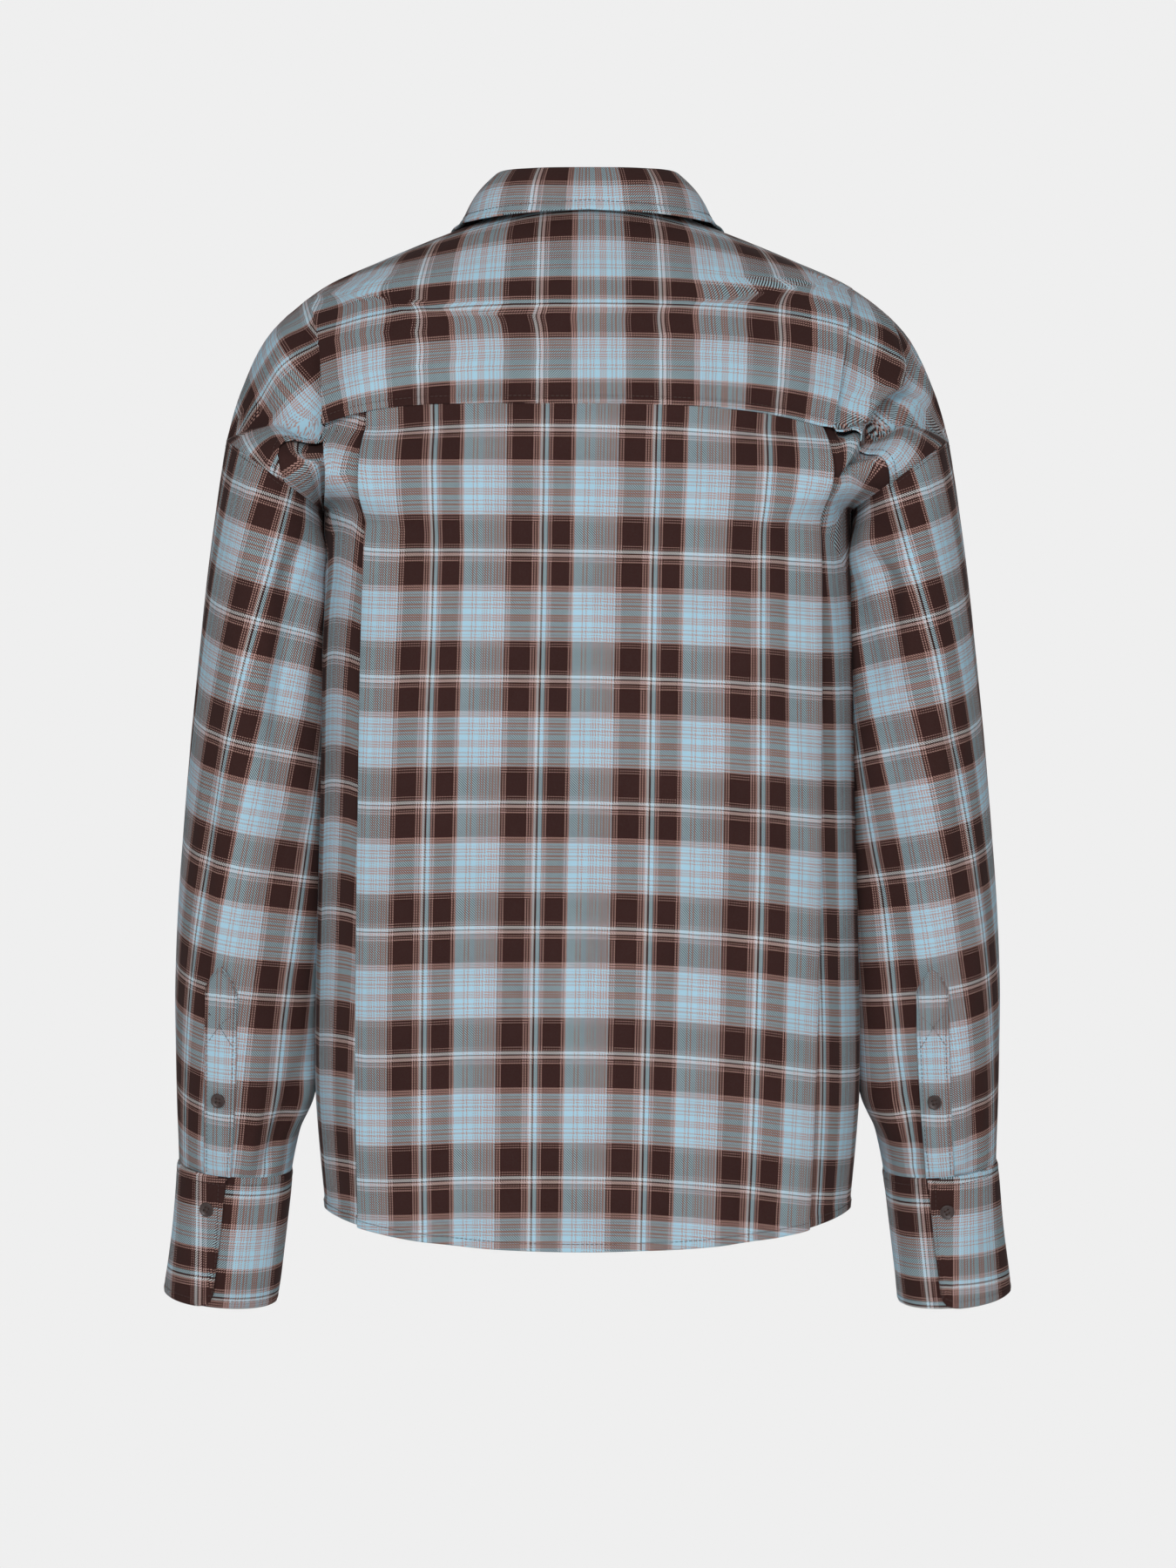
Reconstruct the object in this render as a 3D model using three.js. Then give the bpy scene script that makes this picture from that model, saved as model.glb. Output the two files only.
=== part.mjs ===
// A long-sleeved flannel shirt with a back yoke, two knife pleats, drop shoulders,
// a turned-down collar and deep cuffs. It is hollow and keeps the form it has when worn.
// X runs to the wearer's right, Y forward out of the chest and Z up, in millimetres.
// The origin is the middle of the neck, at the height where the shoulders carry the shirt.
import * as THREE from "three";

// Cloth and making-up.
const layer = 1.2; // one layer of brushed twill
const doubleLayer = 2.2; // the cuffs are two layers
const seamGap = 0.3; // between pieces that are sewn together
const sleeveSetOff = 0.35; // the sleeve's head stands off a little more at the sharp armhole
const seamBevel = 0.7; // how much farther back a sewn edge's inside lies
const liftOff = 0.35; // between a panel and what lies on it
const placketLift = 0.9; // between a sleeve, which is rounder, and the strip on it

// Buttons.
const buttonRadius = 5.1;
const buttonThickness = 2.2;
const frontButtonCount = 7;
const topButton = -92; // height of the first button below the collar
const buttonSpacing = 87;

// Front closing, pleats and bands.
const bandWidth = 30;
const underlapDrop = 2.0; // how far the left front's edge lies under the right one
const pleat = { depthAtYoke: 20, depthAtHem: 7, bend: 1.05, layerDrop: 2.4 };
const hemLevel = 15;
const armholeLevel = 6; // where the shoulder seam ends
const underarmLevel = 10;
const yokeEnd = 8 + 1 / 3; // where the yoke's seam runs into the armhole
const yokeSeam = { middle: 5.06, leftDip: 1.15, rightDip: 2.2, turnsDown: 5 };

const colours = { cloth: 0x6f6263, button: 0x3b2b2a };

// The seam between back and front, for one half: along the shoulder, then down the side.
const shoulderSeam = [
  { x: 74, y: 14, z: 14 },
  { x: 112, y: 18, z: 0 },
  { x: 150, y: 18, z: -16 },
  { x: 188, y: 15, z: -34 },
  { x: 222, y: 10, z: -64 },
  { x: 241, y: 6, z: -103 },
  { x: 251, y: 4, z: -137.5 },
];
const sideSeam = [
  { x: 184, y: 4, z: -186.5 },
  { x: 186.5, y: 4, z: -270 },
  { x: 187.5, y: 4, z: -380 },
  { x: 189.5, y: 4, z: -490 },
  { x: 189.5, y: 4, z: -585 },
  { x: 182.5, y: 4, z: -670 },
];
// The armhole is an oval ring between the shoulder tip and the underarm.
const armhole = { x: 217.5, y: 4, z: -162, halfRise: 24.5, halfReach: 33.5, halfDepth: 76 };

// One row for each level: the middle line (y, z), how far the row keeps straight from the
// middle (flat) and from the edge (round), and the direction in which it meets the edge.
const backRows = [
  { y: -58, z: 22, flat: 40, round: 44, dx: 0, dy: 1, dz: -0.05 },
  { y: -72, z: 1, flat: 62, round: 56, dx: 0.1, dy: 1, dz: -0.12 },
  { y: -87, z: -27, flat: 84, round: 64, dx: 0.1, dy: 1, dz: -0.16 },
  { y: -99, z: -54, flat: 108, round: 68, dx: 0.15, dy: 1, dz: -0.2 },
  { y: -108, z: -84, flat: 126, round: 70, dx: 0.2, dy: 0.97, dz: -0.22 },
  { y: -114, z: -114, flat: 138, round: 70, dx: 0.34, dy: 0.9, dz: -0.28 },
  { y: -117, z: -140, flat: 144, round: 62, dx: 0.5, dy: 0.8, dz: -0.34 },
  { y: -119, z: -160, flat: 146, round: 48, dx: 0.7, dy: 0.66, dz: -0.34 },
  { y: -120, z: -178, flat: 147, round: 40, dx: 0.72, dy: 0.66, dz: -0.28 },
  { y: -120, z: -195, flat: 150, round: 62, dx: 0.4, dy: 0.9, dz: -0.12 },
  { y: -120, z: -214, flat: 152, round: 92, dx: 0.08, dy: 1, dz: -0.02 },
  { y: -121, z: -292, flat: 153, round: 96, dx: 0, dy: 1, dz: 0 },
  { y: -122, z: -392, flat: 154, round: 97, dx: 0, dy: 1, dz: 0 },
  { y: -121, z: -500, flat: 154, round: 97, dx: 0, dy: 1, dz: 0 },
  { y: -119, z: -596, flat: 152, round: 95, dx: 0, dy: 1, dz: 0 },
  { y: -115, z: -693, flat: 144, round: 90, dx: 0, dy: 1, dz: 0 },
];
const frontRows = [
  { y: 62, z: -66, flat: 40, round: 34, dx: 0, dy: -1, dz: 0.2 },
  { y: 80, z: -80, flat: 64, round: 46, dx: 0.1, dy: -1, dz: 0.3 },
  { y: 95, z: -97, flat: 84, round: 58, dx: 0.1, dy: -1, dz: 0.36 },
  { y: 107, z: -116, flat: 102, round: 66, dx: 0.15, dy: -1, dz: 0.2 },
  { y: 116, z: -136, flat: 116, round: 70, dx: 0.2, dy: -0.97, dz: 0.06 },
  { y: 122, z: -155, flat: 124, round: 70, dx: 0.34, dy: -0.9, dz: -0.06 },
  { y: 126, z: -172, flat: 128, round: 62, dx: 0.5, dy: -0.8, dz: -0.16 },
  { y: 129, z: -187, flat: 130, round: 48, dx: 0.7, dy: -0.66, dz: -0.2 },
  { y: 131, z: -201, flat: 131, round: 42, dx: 0.72, dy: -0.66, dz: -0.18 },
  { y: 133, z: -215, flat: 138, round: 66, dx: 0.4, dy: -0.9, dz: -0.1 },
  { y: 134, z: -230, flat: 143, round: 100, dx: 0.08, dy: -1, dz: -0.02 },
  { y: 135, z: -302, flat: 143, round: 101, dx: 0, dy: -1, dz: 0 },
  { y: 134, z: -396, flat: 141, round: 101, dx: 0, dy: -1, dz: 0 },
  { y: 132, z: -501, flat: 139, round: 100, dx: 0, dy: -1, dz: 0 },
  { y: 129, z: -595, flat: 136, round: 98, dx: 0, dy: -1, dz: 0 },
  { y: 125, z: -691, flat: 130, round: 94, dx: 0, dy: -1, dz: 0 },
];

// Where the pleat's fold lies, out from the middle, on the wearer's left and right.
const pleatFold = { left: [156, 158, 160, 164, 166], right: [166, 170, 171, 166, 158] };

// Valleys where the back and the chest turn into the sleeve: distance out, depth and reach.
const valley = { from: 2.2, deepest: 6.2, to: 9.2, out: 190, depth: 10, halfWidth: 30 };

// Largest soft folds of the body: side (-1 left, 1 right), levels, distances out from the
// middle at the upper and lower end, half width and depth. A negative depth is a ridge.
const bodyFolds = [
  { half: "back", from: 10.4, to: 15, upper: -60, lower: -92, halfWidth: 26, depth: 3.5 },
  { half: "back", from: 11.5, to: 15, upper: 96, lower: 112, halfWidth: 24, depth: 4 },
  { half: "back", from: 12.5, to: 15, upper: 20, lower: 34, halfWidth: 30, depth: 2.5 },
  { half: "front", from: 8, to: 14.6, upper: 118, lower: 84, halfWidth: 26, depth: 6 },
  { half: "front", from: 8, to: 14.6, upper: -118, lower: -88, halfWidth: 26, depth: 6 },
  { half: "front", from: 10.5, to: 15, upper: 58, lower: 44, halfWidth: 20, depth: 3.5 },
  { half: "front", from: 10.5, to: 15, upper: -56, lower: -46, halfWidth: 20, depth: 3.5 },
];

// The sleeve's rings, for the right side: middle, half width, half depth, and the tilt in
// degrees by which the outside lies higher (lean) and the back lies lower (pitch).
const sleeveRings = [
  { x: 217.5, y: 4, z: -162, wide: 41.5, deep: 76, lean: 36.18, pitch: 0 },
  { x: 222.5, y: 5, z: -203, wide: 39.5, deep: 78, lean: 24, pitch: 0 },
  { x: 226.5, y: 7, z: -248, wide: 40, deep: 78, lean: 14, pitch: 0 },
  { x: 230.2, y: 9, z: -300, wide: 41.4, deep: 77, lean: 9, pitch: 1 },
  { x: 233.2, y: 12, z: -352, wide: 43.6, deep: 75, lean: 7, pitch: 1 },
  { x: 236, y: 15, z: -406, wide: 45.4, deep: 72, lean: 6, pitch: 2 },
  { x: 238.4, y: 18, z: -462, wide: 47.2, deep: 69, lean: 5, pitch: 4 },
  { x: 240, y: 22, z: -518, wide: 48, deep: 65, lean: 5, pitch: 7 },
  { x: 241, y: 26, z: -562, wide: 46.9, deep: 61, lean: 5, pitch: 9 },
  { x: 243, y: 31, z: -600, wide: 44.4, deep: 55, lean: 5, pitch: 10 },
  { x: 245.6, y: 35, z: -629, wide: 41, deep: 47, lean: 5, pitch: 10 },
  { x: 246.8, y: 37, z: -642.5, wide: 39.6, deep: 40, lean: 5, pitch: 10 },
];
const cuffRings = [
  { x: 246.9, y: 37.1, z: -642.7, wide: 39.6, deep: 40.2, lean: 4.5, pitch: 10 },
  { x: 251.8, y: 45, z: -688.5, wide: 38.8, deep: 38.4, lean: 5, pitch: 10 },
  { x: 258, y: 53.5, z: -734.5, wide: 39.2, deep: 37.6, lean: 5.5, pitch: 10 },
];
const cuff = { around: 250, depth: 93, lap: 22, corner: 13, lift: 0.6, lapLift: 3.2 };
const cuffButton = { degreesIn: 15, ring: 0.56 };
const sleevePlacket = { degreesWide: 27, ringsLong: 4.34, peakRings: 0.26, buttonRings: 2.4 };

// Angles of the free edges of cuff and placket: the two sleeves hang turned differently.
const opening = { right: { cuff: 105, placket: 107 }, left: { cuff: 85, placket: 89 } };

// Collar: the fold at its top and its outer edge, from the middle of the back (turn 0) to
// the front end (turn 1), for the right half.
const foldLine = [
  { x: 0, y: -56, z: 47.5 },
  { x: 36, y: -50, z: 47.5 },
  { x: 61, y: -28, z: 46.5 },
  { x: 66, y: 4, z: 38 },
  { x: 61, y: 34, z: 14 },
  { x: 36, y: 51, z: -18 },
  { x: 4, y: 57, z: -42 },
];
const collarEdge = [
  { x: 0, y: -72, z: 18.5 },
  { x: 44, y: -66, z: 16.5 },
  { x: 78, y: -42, z: 13.5 },
  { x: 90, y: -8, z: 11 },
  { x: 93, y: 34, z: -5 },
  { x: 82, y: 72, z: -51 },
  { x: 58, y: 104, z: -100 },
];
const collarBulge = 3;
const collarLayer = 1.8;
const standLayer = 1.4;
const standRise = 0.6; // of the stand's lower edge over the neck seam
const collarRest = 2.6; // the collar's outside clears the yoke and fronts by at least this

// A value from a column of a table, smoothly between its rows.
function column(table, key, at) {
  const last = table.length - 1;
  const i = Math.min(Math.max(Math.floor(at), 0), last - 1);
  const f = at - i;
  const value = (n) => table[Math.min(Math.max(n, 0), last)][key];
  const [a, b, c, d] = [value(i - 1), value(i), value(i + 1), value(i + 2)];
  const [m0, m1] = [(c - a) / 2, (d - b) / 2];
  const rise = c - b;
  return b + f * (m0 + f * (3 * rise - 2 * m0 - m1 + f * (m0 + m1 - 2 * rise)));
}

function spot(table, at) {
  return new THREE.Vector3(column(table, "x", at), column(table, "y", at), column(table, "z", at));
}

function ramp(from, to, value) {
  return THREE.MathUtils.smoothstep(value, from, to);
}

// A bump that is 1 in the middle and 0 at its half width.
function bump(distance, halfWidth) {
  const f = Math.min(Math.abs(distance) / halfWidth, 1);
  return (1 - f * f) ** 2;
}

// A point of the armhole ring. Angle 0 is the shoulder tip, 90 the back, 180 the underarm.
function armholePoint(degrees) {
  const a = THREE.MathUtils.degToRad(degrees);
  return new THREE.Vector3(
    armhole.x + armhole.halfReach * Math.cos(a),
    armhole.y - armhole.halfDepth * Math.sin(a),
    armhole.z + armhole.halfRise * Math.cos(a),
  );
}

// The edge of a back or front half at a level: shoulder seam, armhole or side seam.
function edgePoint(half, level) {
  if (level < armholeLevel) return spot(shoulderSeam, level);
  if (level < underarmLevel) {
    const turn = ((level - armholeLevel) / (underarmLevel - armholeLevel)) * 180;
    return armholePoint(half === "back" ? turn : -turn);
  }
  return spot(sideSeam, level - underarmLevel);
}

// The right half of a row, as a smooth curve from the middle line to the edge.
function rowCurve(half, level) {
  const rows = half === "back" ? backRows : frontRows;
  const at = (key) => column(rows, key, level);
  const middle = new THREE.Vector3(0, at("y"), at("z"));
  const edge = edgePoint(half, level);
  const meets = new THREE.Vector3(at("dx"), at("dy"), at("dz")).normalize();
  return new THREE.CubicBezierCurve3(
    middle,
    middle.clone().setX(at("flat")),
    edge.clone().addScaledVector(meets, -at("round")),
    edge,
  );
}

// Rows are asked for many times, so each is kept once it is made.
const keptRows = new Map();
function row(half, level) {
  const key = half + level.toFixed(4);
  if (!keptRows.has(key)) keptRows.set(key, rowCurve(half, level));
  return keptRows.get(key);
}

// The smooth body surface. Out is the signed distance along the row from the middle line.
function plainPoint(half, out, level) {
  const curve = row(half, level);
  const share = Math.min(Math.abs(out) / curve.getLength(), 1);
  const p = curve.getPointAt(share);
  return p.setX(out < 0 ? -p.x : p.x);
}

// The outward direction of the smooth body surface.
function plainNormal(half, out, level) {
  const [acrossStep, downStep] = [1.5, 0.04];
  const limit = row(half, level).getLength() - 2 * acrossStep;
  const inside = THREE.MathUtils.clamp(out, -limit, limit);
  const low = Math.max(level - downStep, 0);
  const high = Math.min(level + downStep, hemLevel);
  const across = plainPoint(half, inside + acrossStep, level).sub(
    plainPoint(half, inside - acrossStep, level),
  );
  const down = plainPoint(half, inside, high).sub(plainPoint(half, inside, low));
  const n = half === "back" ? down.cross(across) : across.cross(down);
  return n.normalize();
}

// How far the cloth lies inside the smooth surface, from valleys and soft folds.
function foldDepth(half, out, level) {
  let depth = 0;
  const toArmhole = ramp(0, 24, row(half, level).getLength() - Math.abs(out));
  const nearArmhole = ramp(5, 6, level) * (1 - ramp(10, 10.6, level));
  const swell =
    ramp(valley.from, valley.deepest, level) * (1 - ramp(valley.deepest, valley.to, level));
  depth += swell * valley.depth * bump(Math.abs(out) - valley.out, valley.halfWidth);
  for (const fold of bodyFolds) {
    if (fold.half !== half || level < fold.from) continue;
    const f = (level - fold.from) / (fold.to - fold.from);
    const middle = fold.upper + (fold.lower - fold.upper) * f;
    depth += fold.depth * ramp(0, 0.5, f) * bump(out - middle, fold.halfWidth);
  }
  return depth * (1 - nearArmhole * (1 - toArmhole));
}

function bodyPoint(half, out, level, inward = 0) {
  const drop = inward + foldDepth(half, out, level);
  return plainPoint(half, out, level).addScaledVector(plainNormal(half, out, level), -drop);
}

// The yoke's seam dips from the middle of the back, more on the right, and turns down at last
// into the armhole.
function yokeLevel(share) {
  const dip = share < 0 ? yokeSeam.leftDip : yokeSeam.rightDip;
  const level = yokeSeam.middle + dip * share ** 2;
  return level + (yokeEnd - level) * Math.abs(share) ** yokeSeam.turnsDown;
}

// Evenly spaced values from the first to the last.
function steps(from, to, count) {
  return Array.from({ length: count + 1 }, (_, i) => from + ((to - from) * i) / count);
}

// Rings of the yoke, the back and the fronts. They meet at the edges, point on point.
const shoulderRings = steps(0, armholeLevel, 6);
const sideRings = steps(underarmLevel, hemLevel, 9).slice(1);
const yokeRings = [...shoulderRings, ...steps(armholeLevel, yokeEnd, 7).slice(1)];
const backRings = [...steps(yokeEnd, underarmLevel, 5), ...sideRings];
const frontRings = [...shoulderRings, ...steps(armholeLevel, underarmLevel, 12).slice(1), ...sideRings];

// A closed wall from a grid of outer points: the same grid moved in, and rims all round.
// Sewn sides are drawn back for the seam's gap, a little more on the inside.
function wall(grid, thickness, sewn = [], closedAcross = false) {
  trim(grid, sewn, seamGap / 2);
  const rows = grid.length;
  const columns = grid[0].length;
  const at = (i, j) => {
    const jj = closedAcross ? (j + columns) % columns : THREE.MathUtils.clamp(j, 0, columns - 1);
    return grid[THREE.MathUtils.clamp(i, 0, rows - 1)][jj];
  };
  const inner = grid.map((line, i) =>
    line.map((p, j) => {
      const across = at(i, j + 1).clone().sub(at(i, j - 1));
      const down = at(i + 1, j).clone().sub(at(i - 1, j));
      return p.clone().addScaledVector(down.cross(across).normalize(), -thickness);
    }),
  );
  trim(inner, sewn, seamBevel);
  const positions = [];
  const corner = (points, i, j) => points[i][j % columns];
  const quad = (a, b, c, d) => {
    for (const p of [a, b, c, a, c, d]) positions.push(p.x, p.y, p.z);
  };
  const spans = closedAcross ? columns : columns - 1;
  for (let i = 0; i < rows - 1; i++)
    for (let j = 0; j < spans; j++) {
      const face = (g) => [corner(g, i, j), corner(g, i + 1, j), corner(g, i + 1, j + 1), corner(g, i, j + 1)];
      quad(...face(grid));
      quad(...face(inner).reverse());
    }
  for (let j = 0; j < spans; j++) {
    quad(corner(grid, 0, j + 1), corner(inner, 0, j + 1), corner(inner, 0, j), corner(grid, 0, j));
    const z = rows - 1;
    quad(corner(grid, z, j), corner(inner, z, j), corner(inner, z, j + 1), corner(grid, z, j + 1));
  }
  if (!closedAcross)
    for (let i = 0; i < rows - 1; i++) {
      const z = columns - 1;
      quad(grid[i][0], inner[i][0], inner[i + 1][0], grid[i + 1][0]);
      quad(grid[i + 1][z], inner[i + 1][z], inner[i][z], grid[i][z]);
    }
  return new THREE.BufferGeometry().setAttribute(
    "position",
    new THREE.Float32BufferAttribute(positions, 3),
  );
}

// Moves the border of a grid in on the sides that are named.
function trim(grid, sides, by) {
  const rows = grid.length;
  const columns = grid[0].length;
  const pull = (i, j, ii, jj) => {
    const p = grid[i][j];
    const length = p.distanceTo(grid[ii][jj]);
    p.lerp(grid[ii][jj], by / Math.max(length, by * 2));
  };
  for (let j = 0; j < columns; j++) {
    if (sides.includes("top")) pull(0, j, 1, j);
    if (sides.includes("bottom")) pull(rows - 1, j, rows - 2, j);
  }
  for (let i = 0; i < rows; i++) {
    if (sides.includes("start")) pull(i, 0, i, 1);
    if (sides.includes("end")) pull(i, columns - 1, i, columns - 2);
  }
  return grid;
}

function grid(rows, columns, point) {
  return Array.from({ length: rows + 1 }, (_, i) =>
    Array.from({ length: columns + 1 }, (_, j) => point(i / rows, j / columns)),
  );
}

const shirt = new THREE.Group();
const clothFinish = new THREE.MeshStandardMaterial({
  color: colours.cloth,
  roughness: 0.95,
  metalness: 0,
});
const buttonFinish = new THREE.MeshStandardMaterial({
  color: colours.button,
  roughness: 0.35,
  metalness: 0,
});

function add(name, geometry, finish = clothFinish) {
  const mesh = new THREE.Mesh(geometry, finish);
  mesh.name = name;
  shirt.add(mesh);
  return mesh;
}

// Distances out and drops inward across one pleat, from the panel round to the strip
// beyond it, for a fold at a given distance out.
function pleatSteps(fold, depth) {
  const r = pleat.bend;
  const under = pleat.layerDrop;
  return [
    [fold - 26, 0],
    [fold - 9, 0],
    [fold - r, 0.15],
    [fold, under / 2],
    [fold - r, under - 0.15],
    [fold - depth / 2, under],
    [fold - depth + r, under + 0.15],
    [fold - depth, under * 1.5],
    [fold - depth + r, under * 2 - 0.15],
    [fold - depth / 2, under * 2],
    [fold + 4, under * 2],
  ];
}

// One row of the back panel: the middle, a pleat on each side, and the strips beyond.
function backRow(level) {
  const length = row("back", level).getLength();
  const down = (level - 5) / (hemLevel - 5);
  const depth = THREE.MathUtils.lerp(pleat.depthAtYoke, pleat.depthAtHem, down);
  const side = (key, sign) => {
    const at = down * (pleatFold[key].length - 1);
    const i = Math.min(Math.floor(at), pleatFold[key].length - 2);
    const fold = THREE.MathUtils.lerp(pleatFold[key][i], pleatFold[key][i + 1], at - i);
    const steps = pleatSteps(fold, depth);
    const [start, drop] = steps[steps.length - 1];
    for (const f of [0.25, 0.5, 0.75, 1])
      steps.push([start + (length - start) * f, drop * (1 - f)]);
    return steps.map(([out, inward]) => [out * sign, inward]);
  };
  const left = side("left", -1).reverse();
  const right = side("right", 1);
  const from = left[left.length - 1][0];
  const to = right[0][0];
  const middle = [1, 2, 3, 4, 5, 6, 7, 8, 9].map((n) => [from + ((to - from) * n) / 10, 0]);
  return [...left, ...middle, ...right];
}

const backLines = backRow(hemLevel).map((_, j) => j);

// Where one line down the back panel crosses a ring, once the yoke's dip is allowed for.
function onBackLine(j, ring) {
  const f = (ring - yokeEnd) / (hemLevel - yokeEnd);
  const found = { level: ring, share: 0, out: 0, inward: 0 };
  for (let turn = 0; turn < 8; turn++) {
    [found.out, found.inward] = backRow(found.level)[j];
    found.share = found.out / row("back", found.level).getLength();
    found.level = THREE.MathUtils.lerp(yokeLevel(found.share), hemLevel, f);
  }
  return found;
}

function makeBackPanel() {
  const g = backRings.map((ring) =>
    backLines.map((j) => {
      const { level, out, inward } = onBackLine(j, ring);
      return bodyPoint("back", out, level, inward);
    }),
  );
  add("back_panel", wall(g, layer, ["top", "start", "end"]));
}

// The yoke, from the neck over both shoulders down to its seam across the back. Its columns
// end on the back panel's lines, except on those that turn under in the pleats.
function makeYoke() {
  const shares = backLines.map((j) => onBackLine(j, yokeEnd).share);
  let widest = -Infinity;
  const columns = shares.filter((share) => {
    const further = share > widest + 0.004;
    if (further) widest = share;
    return further;
  });
  const g = yokeRings.map((ring) =>
    columns.map((share) => {
      const level = (ring / yokeEnd) * yokeLevel(share);
      return bodyPoint("back", share * row("back", level).getLength(), level);
    }),
  );
  add("yoke", wall(g, layer, ["top", "bottom", "start", "end"]));
}

// A front, from the shoulder seam to the hem. Side 1 is the wearer's right, which laps over.
function makeFront(name, side) {
  const g = grid(frontRings.length - 1, 13, (down, across) => {
    const level = frontRings[Math.round(down * (frontRings.length - 1))];
    const length = row("front", level).getLength();
    const open = Math.min(bandWidth / 2, length / 3);
    const share = side > 0 ? across : 1 - across;
    const out = -open + (length + open) * share;
    const under = side < 0 ? underlapDrop * (1 - ramp(open * 1.2, open * 2.2, out)) : 0;
    return bodyPoint("front", out * side, level, under);
  });
  for (const line of g) line.reverse();
  const seams = side > 0 ? ["top", "start"] : ["top", "end"];
  add(name, wall(g, layer, seams));
}

// The band down the right front's edge, which lies on the panel.
function makeFrontBand() {
  const last = frontRings.length - 1;
  const g = grid(last, 4, (down, across) => {
    const level = Math.max(frontRings[Math.round(down * last)], 0.06);
    const half = Math.min(bandWidth / 2, row("front", level).getLength() / 3);
    const out = half * (1 - 2 * across) * 0.985;
    return bodyPoint("front", out, level, -(liftOff + layer));
  });
  add("front_band", wall(g, layer, ["top"]));
}

// A button: a dished disc with a raised rim, turned so that it faces along a direction.
function addButton(name, place, facing) {
  const r = buttonRadius;
  const h = buttonThickness;
  const profile = [
    [0, 0],
    [r * 0.72, 0],
    [r * 0.97, h * 0.35],
    [r, h * 0.62],
    [r * 0.9, h],
    [r * 0.76, h],
    [r * 0.62, h * 0.7],
    [0, h * 0.62],
  ].map(([x, y]) => new THREE.Vector2(x, y));
  const disc = new THREE.LatheGeometry(profile, 14);
  const mesh = add(name, disc, buttonFinish);
  mesh.quaternion.setFromUnitVectors(new THREE.Vector3(0, 1, 0), facing);
  mesh.position.copy(place).addScaledVector(facing, liftOff);
}

// The level at which the middle of the front is at a height.
function frontLevelAt(z) {
  let [high, low] = [0, hemLevel];
  for (let n = 0; n < 30; n++) {
    const middle = (high + low) / 2;
    if (column(frontRows, "z", middle) > z) high = middle;
    else low = middle;
  }
  return high;
}

function makeFrontButtons() {
  for (let n = 0; n < frontButtonCount; n++) {
    const level = frontLevelAt(topButton - n * buttonSpacing);
    const facing = plainNormal("front", 0, level);
    const place = bodyPoint("front", 0, level, -(liftOff + layer));
    addButton(`front_button_${n + 1}`, place, facing);
  }
}

// A point on a tube of rings such as a sleeve. Angle 0 is outside, 90 back, 180 inside.
function ringPoint(rings, side, degrees, at, outward = 0) {
  const value = (key) => column(rings, key, at);
  const a = THREE.MathUtils.degToRad(degrees);
  const p = new THREE.Vector3(
    (value("wide") + outward) * Math.cos(a),
    -(value("deep") + outward) * Math.sin(a),
    0,
  );
  p.applyAxisAngle(new THREE.Vector3(1, 0, 0), THREE.MathUtils.degToRad(value("pitch")));
  p.applyAxisAngle(new THREE.Vector3(0, 1, 0), -THREE.MathUtils.degToRad(value("lean")));
  p.add(spot(rings, at));
  return p.setX(p.x * side);
}

// Soft folds of a sleeve: the ring and angle where each starts and ends.
const sleeveFolds = [
  { side: 1, from: 0.6, to: 4.2, start: 140, end: 72, halfWidth: 24, depth: 7 },
  { side: 1, from: 5.4, to: 10.4, start: 60, end: 132, halfWidth: 20, depth: 4 },
  { side: -1, from: 0.8, to: 4.6, start: 150, end: 112, halfWidth: 22, depth: 5 },
  { side: -1, from: 6, to: 10.4, start: 150, end: 128, halfWidth: 20, depth: 4 },
  { side: 1, from: 1, to: 4.4, start: 226, end: 276, halfWidth: 22, depth: 5 },
  { side: -1, from: 1, to: 4.4, start: 226, end: 276, halfWidth: 22, depth: 5 },
  { side: 1, from: 5, to: 9.4, start: 210, end: 262, halfWidth: 20, depth: 4 },
  { side: -1, from: 5, to: 9.4, start: 210, end: 262, halfWidth: 20, depth: 4 },
];

function sleeveDepth(side, degrees, at) {
  let depth = 0;
  for (const fold of sleeveFolds) {
    if (fold.side !== side || at <= fold.from || at >= fold.to) continue;
    const f = (at - fold.from) / (fold.to - fold.from);
    const middle = fold.start + (fold.end - fold.start) * f;
    depth += fold.depth * Math.sin(Math.PI * f) * bump(degrees - middle, fold.halfWidth * 1.4);
  }
  return depth;
}

function sleevePoint(side, degrees, at, outward = 0) {
  return ringPoint(sleeveRings, side, degrees, at, outward - sleeveDepth(side, degrees, at));
}

// Angles go backward on the left so that both sleeves' walls face out.
function turned(side, share) {
  return side > 0 ? 360 * (1 - share) : 360 * share;
}

function makeSleeve(name, side) {
  const last = sleeveRings.length - 1;
  const rows = 16;
  const columns = 24;
  const g = Array.from({ length: rows + 1 }, (_, i) =>
    Array.from({ length: columns }, (_, j) =>
      sleevePoint(side, turned(side, j / columns), (i / rows) * last),
    ),
  );
  trim(g, ["top"], sleeveSetOff);
  add(name, wall(g, layer, ["top", "bottom"], true));
}

// The cuff runs from its free edge once round the wrist and in under itself.
function makeCuff(key, side) {
  const last = cuffRings.length - 1;
  const length = cuff.around + cuff.lap;
  const cornerRise = (fromEnd) => {
    const inset = Math.max(cuff.corner - fromEnd, 0);
    return cuff.corner - Math.sqrt(cuff.corner ** 2 - inset ** 2);
  };
  const g = grid(5, 36, (down, across) => {
    const run = side > 0 ? across : 1 - across;
    const degrees = opening[key].cuff - (run * length * 360) / cuff.around;
    const fromEnd = Math.min(run, 1 - run) * length;
    const lift = cuff.lapLift * (1 - ramp(0.04, 0.22, run)) + cuff.lift;
    const bottom = last * (1 - cornerRise(fromEnd) / cuff.depth);
    return ringPoint(cuffRings, side, degrees, down * bottom, lift);
  });
  add(`cuff_${key}`, wall(g, doubleLayer, ["top"]));
}

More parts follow.
